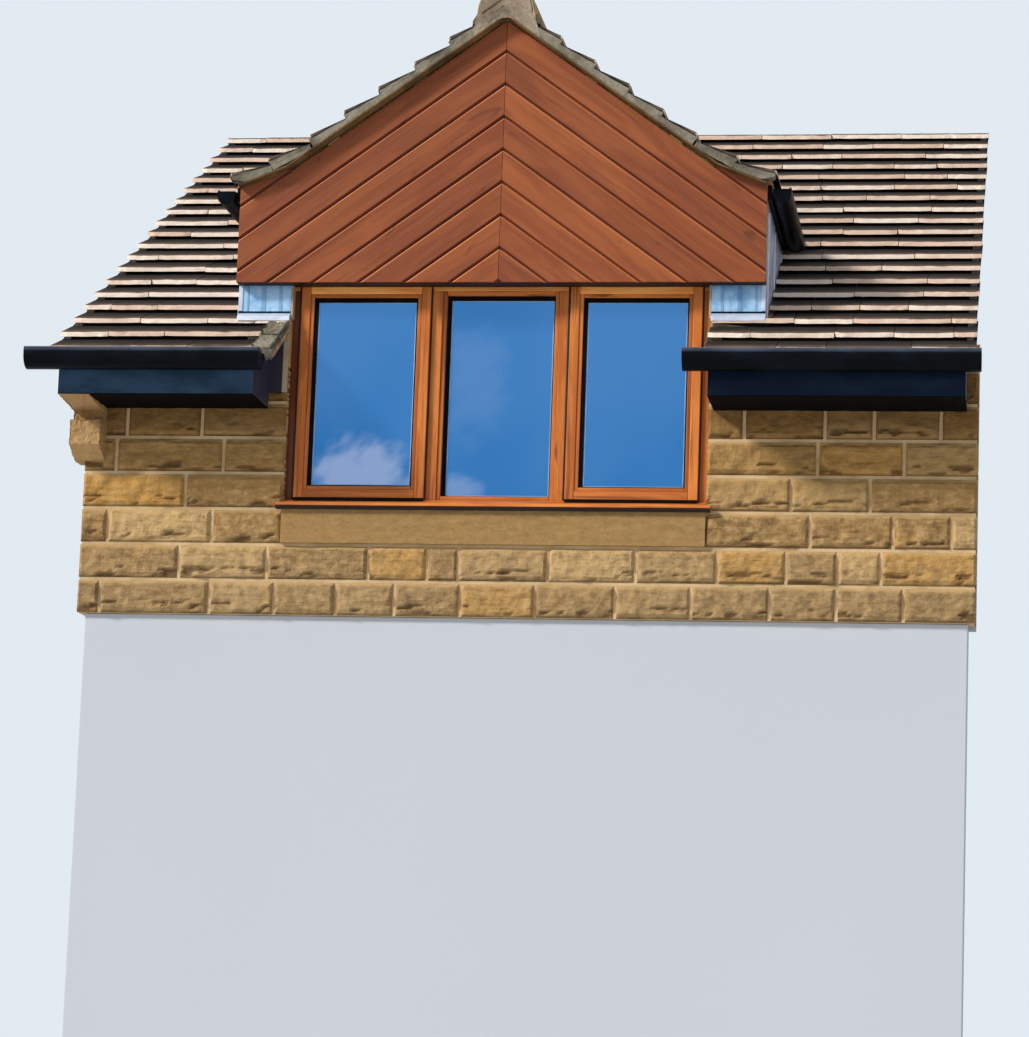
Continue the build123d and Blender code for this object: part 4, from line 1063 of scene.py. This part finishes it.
# %% The ridge
RIDGE_MIDDLE, RIDGE_TILE, RIDGE_LEG = RIDGE_LEVEL - 0.065, 0.45, 0.045
RIDGE_OUTER, RIDGE_INNER, RIDGE_JOINT = 0.1245, 0.107, 0.010


def half_round(outer, inner, leg):
    """Section of a ridge tile: an arch with short straight legs."""
    arch = [(math.cos(math.pi * step / 14), math.sin(math.pi * step / 14)) for step in range(15)]
    outline = [(outer, RIDGE_MIDDLE - leg)]
    outline += [(outer * c, RIDGE_MIDDLE + outer * s) for c, s in arch]
    outline.append((-outer, RIDGE_MIDDLE - leg))
    if inner:
        outline.append((-inner, RIDGE_MIDDLE - leg))
        outline += [(-inner * c, RIDGE_MIDDLE + inner * s) for c, s in arch]
        outline.append((inner, RIDGE_MIDDLE - leg))
    return outline


x, top = 0.124, dormer_z(0.124)
bed = [(x - 0.01, top - 0.020), (x + 0.022, dormer_z(x + 0.022) - 0.020),
       (x + 0.020, dormer_z(x + 0.020) - 0.002), (x + 0.001, top + 0.016), (x - 0.01, top + 0.012)]
ridge, bedding = Bench(81), Bench(82)
under_roof = (at(0, 0, MAIN_LEVEL), Vector((0, math.sin(MAIN_PITCH), -math.cos(MAIN_PITCH))))
ridge_end = main_depth(RIDGE_LEVEL + 0.06)
depth = TILES_FRONT + 0.012
while depth < ridge_end:
    far = min(depth + RIDGE_TILE, ridge_end)
    drop = ridge.random.uniform(0.0, 0.002)
    ridge.prism(half_round(RIDGE_OUTER - drop, RIDGE_INNER, RIDGE_LEG), inwards,
                depth, far - RIDGE_JOINT, (0, 1, 0), 0.003, cuts=[under_roof])
    ridge.prism(half_round(0.1215, RIDGE_INNER, RIDGE_LEG), inwards,
                far - 0.014, far + 0.004, (0, 1, 0), 0, 1, cuts=[under_roof])
    for way in (-1, 1):
        bedding.prism(bed, lambda a, b, t: at(way * a, t, b), depth + 0.004, far, (0, 1, 0), 0,
                      cuts=[under_roof])
    depth = far
ridge.piece("ridge_row", [ridge_tile, verge_mortar], "ridge", "ridge_tiles")
rub(bedding, "ridge_edge_bedding", rough_mortar, 0.006, 50.0, 4)
plug = Bench(83)
low_fill = dormer_z(0.150, 0.066)
stop = [(0.150, low_fill), *half_round(0.1185, 0, 0.0), (-0.150, low_fill),
        (0.0, dormer_z(0.0, 0.066))]
plug.prism(stop, inwards, TILES_FRONT + 0.001, -0.05, (1, 0, 0), 0)
rub(plug, "ridge_end_fill", rough_fill, 0.006, 40.0, 4)

# %% [markdown]
# ## The boarded gable
# Tongued boards run parallel to the verges and meet on the middle line. Each is a length with two
# chamfered edges, which make the V of the joint: the chamfer of the upper board falls in shade and
# that of the lower one catches the light, and the finishes paint it so: dark on the shaded chamfer
# and the joint's sides, pale on the lit one. A board is cut by planes to the gable's outline.

# %% Gable boards
BOARD, CHAMFER, GROOVE, TONGUE = 0.1137, 0.0085, 0.0018, 0.006
CLADDING_BACK, VERGE_BELOW = -0.042, 0.073
apex = dormer_z(0, VERGE_BELOW)
lift = BOARD / math.cos(DORMER_PITCH)
for side, way in SIDES:
    bench = Bench(31 + way)
    run = Vector((way * math.cos(DORMER_PITCH), 0, -math.sin(DORMER_PITCH)))
    rise = Vector((way * math.sin(DORMER_PITCH), 0, math.cos(DORMER_PITCH)))
    foot = Vector((way * math.sin(FOOT_PITCH), 0, math.cos(FOOT_PITCH)))
    knee = at(way * FOOT_START, 0, dormer_z(FOOT_START, VERGE_BELOW))
    cuts = [(Vector((0.0008 * way, 0, 0)), Vector((-way, 0, 0))),
            (Vector((way * GABLE_HALF, 0, 0)), Vector((way, 0, 0))),
            (Vector((0, 0, GABLE_BOTTOM)), Vector((0, 0, -1)))]
    face, back, shoulder = -GABLE_PROUD, CLADDING_BACK, CLADDING_BACK - TONGUE
    outline = [(0.0, back), (BOARD - 0.0001, back), (BOARD - 0.0001, shoulder),
               (BOARD - GROOVE, shoulder), (BOARD - GROOVE, face + CHAMFER),
               (BOARD - CHAMFER, face), (CHAMFER, face), (GROOVE, face + CHAMFER),
               (GROOVE, shoulder), (0.0, shoulder)]

    def arris(normal):
        """A board's face, its upper chamfer painted as lit, or its lower chamfer and the joint's
        sides painted as in shade.
        """
        tilt = normal.dot(rise)
        return 2 if tilt < -0.35 or tilt > 0.9 else 1 if tilt > 0.35 else 0

    for board in range(-1, 9):
        foot_point = Vector((0, FACE, apex - (board + 1) * lift))
        bent = [(knee, foot)] if board < 0 else []
        bench.prism(outline, lambda b, d, t: foot_point + run * t + rise * b + Vector((0, d, 0)),
                    -0.2, 1.9, run, 0.0007, arris, cuts=cuts + bent)
    bench.piece(f"gable_cladding_{side}", [cladding_timber, cladding_worn, cladding_joint],
                "cladding_timber", f"gable_boards_{side}")

# %% [markdown]
# ## The window's joinery
# Frame, mullions and casements are separate squared lengths with eased arrises, so that each has
# its own grain, as a joiner would set them out. The casements lap over the frame; dark strips in
# the gaps round them are painted shadow, and a black gasket holds the glass.

# %% Frame, sill and board
FRAME_FRONT, FRAME_BACK = 0.045, 0.135
FRAME_TOP, HEAD_BOTTOM, CILL_TOP = 1.440, 1.380, 0.492
JAMB_INNER, MULLION_INNER, MULLION_OUTER = 0.822, 0.246, 0.316
DEEP, UPRIGHT = (FRAME_FRONT, FRAME_BACK), (CILL_TOP, HEAD_BOTTOM)
for seed, name, finish, node, bars in (
        (41, "window_head", window_pale, "frame_head",
         [(-OPENING, OPENING, *DEEP, HEAD_BOTTOM, FRAME_TOP, 0.002)]),
        (42, "window_jambs", window_timber, "frame_jambs",
         [(way * JAMB_INNER, way * OPENING, *DEEP, *UPRIGHT, 0.002, 0, None, 1.5 - 0.8 * way)
          for way in (-1, 1)]),
        (43, "window_mullions", window_timber, "frame_mullions",
         [(way * MULLION_INNER, way * MULLION_OUTER, *DEEP, *UPRIGHT, 0.002)
          for way in (-1, 1)])):
    bench = Bench(seed)
    for bar in bars:
        bench.bar(*bar)
    bench.piece(name, [finish], "window_timber", node)
bench = Bench(44)
bench.prism([(0.0, SILL_TOP), (FRAME_BACK, SILL_TOP), (FRAME_BACK, CILL_TOP),
             (FRAME_FRONT, CILL_TOP), (0.0, SILL_TOP + 0.030)],
            sideways, -OPENING, OPENING, (1, 0, 0), 0.002)
# Faces of the cill's nose that look downwards take the near-black timber, as painted shade.
bench.prism([(-0.024, SILL_TOP), (-0.020, SILL_TOP), (-0.019, SILL_TOP + 0.004),
             (-0.014, SILL_TOP + 0.004), (-0.013, SILL_TOP), (0.0, SILL_TOP),
             (0.0, SILL_TOP + 0.030), (-0.035, SILL_TOP + 0.026), (-0.035, SILL_TOP + 0.013)],
            sideways, -OPENING - 0.022, OPENING + 0.022, (1, 0, 0), 0.0015,
            lambda normal: 1 if normal.z < -0.3 else 0)
bench.piece("window_cill", [window_timber, soffit_timber], "window_timber", "window_sill")
bench = Bench(45)
bench.bar(-OPENING, OPENING, FRAME_BACK, 0.275, SILL_TOP, SILL_TOP + 0.025, 0.005)
bench.piece("inner_board", [window_timber], "window_timber", "window_board")

# %% Casements, beads and gaskets
SASH_IN, SASH_OUT, SASH_LOW, SASH_HIGH = 0.294, 0.844, 0.495, 1.405
STILE, TOP_RAIL, FOOT_RAIL = 0.055, 0.058, 0.052
SASH_FRONT, LEAF, SASH_BACK, GLASS_FRONT, BEAD, REBATE = 0.027, 0.045, 0.072, 0.041, 0.016, 0.009


def ring(bench, x0, x1, z0, z1, wide, d0, d1, finish=0, ease=0.001):
    """Four lengths round an opening; widths go outwards at the left, right, foot and top."""
    left, right, foot, top = wide if isinstance(wide, tuple) else (wide,) * 4
    bench.bar(x0 - left, x0, d0, d1, z0 - foot, z1 + top, ease, finish)
    bench.bar(x1, x1 + right, d0, d1, z0 - foot, z1 + top, ease, finish)
    bench.bar(x0, x1, d0, d1, z0 - foot, z0, ease, finish)
    bench.bar(x0, x1, d0, d1, z1, z1 + top, ease, finish)


def gap_shadow_strips(bench, low_x, high_x):
    """Dark strips laid in the gaps under a casement and beside it, as painted shadow."""
    bench.bar(low_x + 0.002, high_x - 0.002, 0.022, 0.044, 0.480, 0.4962, 0.001)
    for x0, x1 in ((low_x - 0.010, low_x - 0.0005), (high_x + 0.0005, high_x + 0.006)):
        bench.bar(x0, x1, 0.037, 0.0449, SASH_LOW, HEAD_BOTTOM + 0.02, 0.001, 2)


def glazing_edge(bench, light, front):
    """The gasket and a pale blue line at the glass's edge, both wider at the left and the top: the
    gasket's extra width is painted shade, and the blue line is a painted reflection.
    """
    x0, x1, z0, z1 = light
    ring(bench, x0 + 0.018, x1 - 0.006, z0 + 0.004, z1 - 0.020, (0.021, 0.009, 0.007, 0.023),
         front - 0.004, front - 0.0002)
    ring(bench, x0 + 0.023, x1 - 0.010, z0 + 0.007, z1 - 0.024, (0.006, 0.005, 0.004, 0.005),
         front - 0.0012, front - 0.0003, 1, 0)


for side, way in SIDES:
    bench = Bench(51 + way)
    low_x, high_x = sorted((way * SASH_IN, way * SASH_OUT))
    light = (low_x + STILE, high_x - STILE, SASH_LOW + FOOT_RAIL, SASH_HIGH - TOP_RAIL)
    x0, x1, z0, z1 = (v + BEAD * sign for v, sign in zip(light, (-1, 1, -1, 1)))
    face = (SASH_FRONT, LEAF)
    bench.bar(low_x, x0, *face, SASH_LOW, SASH_HIGH, 0.003)
    bench.bar(x1, high_x, *face, SASH_LOW, SASH_HIGH, 0.003)
    bench.bar(x0, x1, *face, SASH_LOW, z0, 0.003)
    # The top rail takes the paler copy without darkening, as painted light.
    bench.bar(x0, x1, *face, z1, SASH_HIGH, 0.003, 1, None, 0.0)
    ring(bench, *light, BEAD, SASH_FRONT + 0.004, LEAF, 0, 0.003)
    x0, x1, z0, z1 = (v + REBATE * sign for v, sign in zip(light, (-1, 1, -1, 1)))
    rear_low, rear_high = sorted((way * (MULLION_OUTER + 0.003), way * (JAMB_INNER - 0.003)))
    rear, rear_top = (LEAF, SASH_BACK), HEAD_BOTTOM - 0.003
    bench.bar(rear_low, x0, *rear, SASH_LOW, rear_top, 0.001)
    bench.bar(x1, rear_high, *rear, SASH_LOW, rear_top, 0.001)
    bench.bar(x0, x1, *rear, SASH_LOW, z0, 0.001)
    bench.bar(x0, x1, *rear, z1, rear_top, 0.001)
    bench.piece(f"casement_{side}", [window_timber, window_pale], "window_timber", f"sash_{side}")
    bench = Bench(61 + way)
    glazing_edge(bench, light, GLASS_FRONT)
    gap_shadow_strips(bench, low_x, high_x)
    bench.piece(f"glazing_gasket_{side}", [gasket, edge_seal, soffit_timber], "black_trim")

bench = Bench(71)
PANE, PANE_LOW, PANE_HIGH, BEAD_FRONT, BEAD_BACK = 0.228, 0.510, 1.362, 0.051, 0.071
for x0, x1, z0, z1 in ((-MULLION_INNER, -PANE, *UPRIGHT), (PANE, MULLION_INNER, *UPRIGHT),
                       (-PANE, PANE, CILL_TOP, PANE_LOW), (-PANE, PANE, PANE_HIGH, HEAD_BOTTOM)):
    bench.bar(x0, x1, BEAD_FRONT, BEAD_BACK, z0, z1, 0.003)
bench.piece("glazing_beads", [window_timber], "window_timber", "centre_beads")
bench = Bench(72)
glazing_edge(bench, (-PANE, PANE, PANE_LOW, PANE_HIGH), BEAD_BACK)
bench.piece("glazing_gasket_centre", [gasket, edge_seal], "black_trim")

# %% Handles on the inner faces of the casements
handles = Bench(75)
handles.bars((0.3205, 0.3385, SASH_BACK, SASH_BACK + 0.008, 0.89, 1.01, 0.002),
             (0.3245, 0.3345, SASH_BACK + 0.006, SASH_BACK + 0.030, 0.965, 0.985, 0.002),
             (0.3235, 0.3355, SASH_BACK + 0.022, SASH_BACK + 0.034, 0.865, 0.990, 0.004))
handles.piece("casement_handles", [black_gloss], "black_trim")

# %% [markdown]
# ## Leadwork
# Beside the window head a panel of lead closes the strip between the stone and the gable. It is
# folded round its edges and dressed out over the tiles as an apron. The cheeks are covered in
# sheets with upright welts where they join.

# %% Lead panels, aprons and trims
bench = Bench(91)
apron = [(0.0, MAIN_LEVEL + 0.010), (-0.005, MAIN_LEVEL + 0.006), (-0.018, main_z(-0.018, -0.005)),
         (-0.021, main_z(-0.021, 0.010)), (-0.019, main_z(-0.019, 0.010)),
         (-0.016, main_z(-0.016, -0.002)), (-0.004, MAIN_LEVEL + 0.001), (0.0, MAIN_LEVEL + 0.005)]
for way in (-1, 1):
    low_x, high_x = sorted((way * (OPENING + 0.001), way * GABLE_HALF))
    bench.bar(low_x, high_x, -0.0028, -0.0002, MAIN_LEVEL, GABLE_BOTTOM, 0.001)
    for x, wide in ((0.920, 0.014), (0.990, 0.020), (1.062, 0.010)):
        bench.bar(way * x, way * (x + wide), -0.0045, -0.0025, MAIN_LEVEL + 0.012, GABLE_BOTTOM,
                  0.001, 3)
    bench.bar(low_x, high_x, -0.0050, -0.0025, MAIN_LEVEL + 0.011, MAIN_LEVEL + 0.018, 0.001, 1)
    # The apron takes the white lead, painted as in sunlight.
    bench.prism(apron, sideways, low_x, high_x, (1, 0, 0), 0.0005, 2)
bench.piece("lead_panels", [lead_pale, gasket, lead_white, lead_fold], "lead", "front_lead")
bench = Bench(92)
bench.bars((OPENING - 0.008, OPENING - 0.0002, -0.003, 0.044, MAIN_LEVEL - 0.01, GABLE_BOTTOM,
            0.001),
           (GABLE_HALF - 0.018, GABLE_HALF - 0.001, -0.0065, -0.0028, MAIN_LEVEL + 0.02,
            GABLE_BOTTOM, 0.001, 1))
bench.piece("panel_trims", [fillet_mortar, lead_white], "lead")
bench = Bench(93)
UPSTAND, UPSTAND_END, LEAD_TOP, WELTS = 0.030, 1.2, 1.71, (0.045, 0.36, 0.70)
outline = [(d, main_z(d) + up) for d, up in ((0.0, -0.02), (UPSTAND_END, -0.02),
                                             (UPSTAND_END, UPSTAND), (0.0, UPSTAND))]
for way in (-1, 1):
    for depth in WELTS:
        bench.bar(way * (GABLE_HALF - 0.001), way * (GABLE_HALF + 0.006), depth, depth + 0.014,
                  main_z(depth) - 0.03, LEAD_TOP + 0.002, 0.002)
    bench.prism(outline, sideways, way * (GABLE_HALF - 0.001), way * (GABLE_HALF + 0.0025),
                (0, 1, 0), 0.0008, cuts=[(at(0, 0, LEAD_TOP), Vector((0, 0, 1)))])
bench.piece("cheek_welts", [lead_cheek], "lead")

# %% [markdown]
# ## Gutters, kneeler and inner leaf
# The gutters keep their solids and gain a rolled lip. The kneeler's faces are rubbed like rock.
# Behind the stone stands a leaf of plain blocks, which the room side and the wall's ends show.

# %% Rolled lips on the gutters
LIP, EAVES_LIP, SIDE_LIP = 0.0055, (-0.3915, 1.0335), (1.201, 1.784)
EAVES_RUNS, SIDE_RUN = ((-1.898, -0.917), (0.808, 1.995)), (-0.0595, 1.0)
lips = Bench(95)
rod = [(LIP * math.cos(math.pi * step / 4), LIP * math.sin(math.pi * step / 4))
       for step in range(8)]
for run in EAVES_RUNS:
    lips.prism([(EAVES_LIP[0] + a, EAVES_LIP[1] + b) for a, b in rod], sideways, *run,
               (1, 0, 0), 0)
for way in (-1, 1):
    lips.prism([(way * SIDE_LIP[0] + a, SIDE_LIP[1] + b) for a, b in rod], inwards,
               *SIDE_RUN, (0, 1, 0), 0, cuts=[under_roof])
lips.piece("gutter_lips", [worn_lip], "black_trim")

# %% The kneeler at the house's corner
KNEELER_LEFT, KNEELER_RIGHT, KNEELER_LOW = -1.780, -1.645, 0.635
kneeler = Bench(97)
for outline in ([(-0.280, SOFFIT_LEVEL), (0.0, SOFFIT_LEVEL), (0.0, 0.834), (-0.276, 0.862)],
                [(-0.100, 0.690), (-0.100, 0.798), (0.0, 0.812), (0.0, KNEELER_LOW)],
                [(-0.050, 0.850), (0.0, 0.850), (0.0, 0.790), (-0.050, 0.790)]):
    kneeler.prism(outline, sideways, KNEELER_LEFT, KNEELER_RIGHT, (1, 0, 0), 0)
kneeler.bar(KNEELER_LEFT, -WALL_LEFT, 0.0, 0.100, KNEELER_LOW, SOFFIT_LEVEL, 0)
rub(kneeler, "kneeler", rough_stone, 0.009, 42.0, 5, "sawn_stone", "corner_corbel")

# %% Blocks of the inner leaf
BLOCK, BLOCK_HIGH, BLOCK_JOINT = 0.440, 0.215, 0.010
INNER_FRONT, INNER_BACK = 0.1008, 0.2495


def block_leaf(name, x0, x1, z0, z1, replaced):
    """Plain blocks in half bond between two ends and two levels."""
    leaf = Bench(101)
    leaf.bar(x0 + 0.002, x1 - 0.002, 0.1012, 0.247, z0 + 0.001, z1 - 0.001, 0, 1)
    level, row = z0, 0
    while level < z1 - 0.02:
        top = min(level + BLOCK_HIGH, z1)
        place = x0 - (BLOCK + BLOCK_JOINT) / 2 * (row % 2)
        while place < x1 - 0.02:
            low_x, high_x = max(place, x0), min(place + BLOCK, x1)
            if high_x - low_x > 0.03:
                leaf.bar(low_x, high_x, INNER_FRONT, INNER_BACK, level, top, 0.003)
            place += BLOCK + BLOCK_JOINT
        level, row = top + BLOCK_JOINT, row + 1
    leaf.piece(name, [block_grey, block_joint], "inner_leaf", replaced)


block_leaf("inner_blocks_below", -WALL_LEFT, WALL_RIGHT, 0.0, SILL_TOP, "inner_wall_below")
block_leaf("inner_blocks_left", -WALL_LEFT, -OPENING, SILL_TOP, PLATE_LOW, "inner_wall_left")
block_leaf("inner_blocks_right", OPENING, WALL_RIGHT, SILL_TOP, PLATE_LOW, "inner_wall_right")

# %% [markdown]
# ## Finishes for the nodes that stay
# The panes, the sawn sill, the fascias and the timbers inside have their true shapes already and
# only need their finishes, each with the grain turned along its members.

# %% Dressing the nodes that stay
DRESS = (
    (sawn_stone, "stone_sill"), (fillet_mortar, "jamb_fillets"), (ridge_fill, "ridge_bedding"),
    # The glass carries a painted sky reflection; the gable's soffit takes near-black timber as
    # painted shade.
    (glass_finish, "glass_left glass_centre glass_right"), (soffit_timber, "gable_soffit"),
    (pine_level, "wall_plates head_beam roof_header"), (pine_inward, "ridge_board"),
    (pine_upright, "jamb_studs gable_studs gable_battens"),
    (pine_dormer_slope, "dormer_rafters"), (pine_main_slope, "main_rafters"),
    (strands, "gable_sheathing cheek_panel_left cheek_panel_right dormer_deck main_deck"),
    (lead_cheek, "cheek_lead_left cheek_lead_right"),
    (lead_grey, "valley_lead_left valley_lead_right"),
    # The black trims carry a painted sheen, the fascias a painted sky reflection.
    (black_gloss, "side_fascias side_gutter_left side_gutter_right eaves_gutter_left "
                  "eaves_gutter_right"),
    (fascia_gloss, "eaves_box_left eaves_box_right"),
)
dressed = []
for material, names in DRESS:
    for name in names.split():
        mesh = nodes[name].data
        mesh.materials.clear()
        mesh.materials.append(material)
        dressed.append(name)
shown = [name for name, node in nodes.items() if not node.hide_render]
print(len(shown), "nodes stay, without a finish:", [n for n in shown if n not in dressed])

# %% [markdown]
# ## Stage, light and camera
# The part hangs in its wall, so a pale stand carries the wall's underside. The light is a bright
# even room with one soft lamp from the upper left, which grazes the wall and brings out its
# relief. The camera stands below and to the right, where the picture was taken from, with a small
# lens shift for the framing.


# %% Floor, stand and room
def pale_finish(name, low, high):
    made = Finish(name, low, Roughness=0.9)
    made.paint(high, made.noise(made.place(), 0.6, 2, 0.55))
    return made.done()


FAR, DOWN = 40, -3.5
floor_mesh = bpy.data.meshes.new("floor")
floor_mesh.from_pydata([(-FAR, -FAR, DOWN), (FAR, -FAR, DOWN), (FAR, FAR, DOWN), (-FAR, FAR, DOWN)],
                       [], [(0, 1, 2, 3)])
floor_mesh.materials.append(pale_finish("pale_floor", "e2e5e8", "eaecee"))
floor = put("floor", floor_mesh)
stand = Bench(99)
stand.bar(-WALL_LEFT + 0.03, WALL_RIGHT - 0.03, 0.03, 0.22, DOWN, -0.001, 0.004)
stand.lay("stand", [pale_finish("pale_stand", "bcc2ca", "c2c8d0")])

world = bpy.data.worlds.new("room")
world.use_nodes = True
bpy.context.scene.world = world
room = Tree(world.node_tree)
room.group.nodes.clear()
path = room.group.nodes.new("ShaderNodeLightPath")
seen = Wire(room, path.outputs["Is Camera Ray"])
for ray in ("Is Glossy Ray", "Is Transmission Ray"):
    seen = seen.most(Wire(room, path.outputs[ray]))
colour = room.node("ShaderNodeMix", {"data_type": "RGBA"},
                   {0: seen, 6: (0.94, 0.98, 1.05, 1.0), 7: tone("e2eaf2")}, 2)
backdrop = room.node("ShaderNodeBackground", {}, {0: colour, 1: seen * 0.65 + 0.35})
exit_node = room.group.nodes.new("ShaderNodeOutputWorld")
room.group.links.new(backdrop.socket, exit_node.inputs[0])

lamp = bpy.data.lights.new("soft_key", "SUN")
lamp.energy, lamp.angle, lamp.color = 3.9, math.radians(10), (1.0, 0.955, 0.90)
key = put("soft_key", lamp)
key.rotation_euler = Vector((0.78, 0.50, -0.62)).to_track_quat("-Z", "Y").to_euler()

# %% The camera
CAMERA_PLACE = Vector((2.18283, -13.14986, -1.92357))
YAW, PITCH, ROLL, FOCAL = 0.13226, 0.14910, 0.03201, 3263.24
SHIFT_X, SHIFT_Y, WIDE, TALL = -0.0806, 0.0852, 1029, 1037
ahead = Vector((-math.sin(YAW) * math.cos(PITCH), math.cos(YAW) * math.cos(PITCH),
                math.sin(PITCH)))
level = Vector((math.cos(YAW), math.sin(YAW), 0))
upward = level.cross(ahead)
right = level * math.cos(ROLL) + upward * math.sin(ROLL)
upward = upward * math.cos(ROLL) - level * math.sin(ROLL)
lens = bpy.data.cameras.new("camera")
lens.lens = FOCAL / TALL * lens.sensor_width
lens.shift_x = SHIFT_X * WIDE / TALL
lens.shift_y = SHIFT_Y * WIDE / TALL
lens.clip_end = 200
camera = put("camera", lens)
camera.matrix_world = Matrix((right, upward, -ahead)).transposed().to_4x4()
camera.location = CAMERA_PLACE
bpy.context.scene.camera = camera
bpy.context.scene.view_settings.view_transform = "Standard"
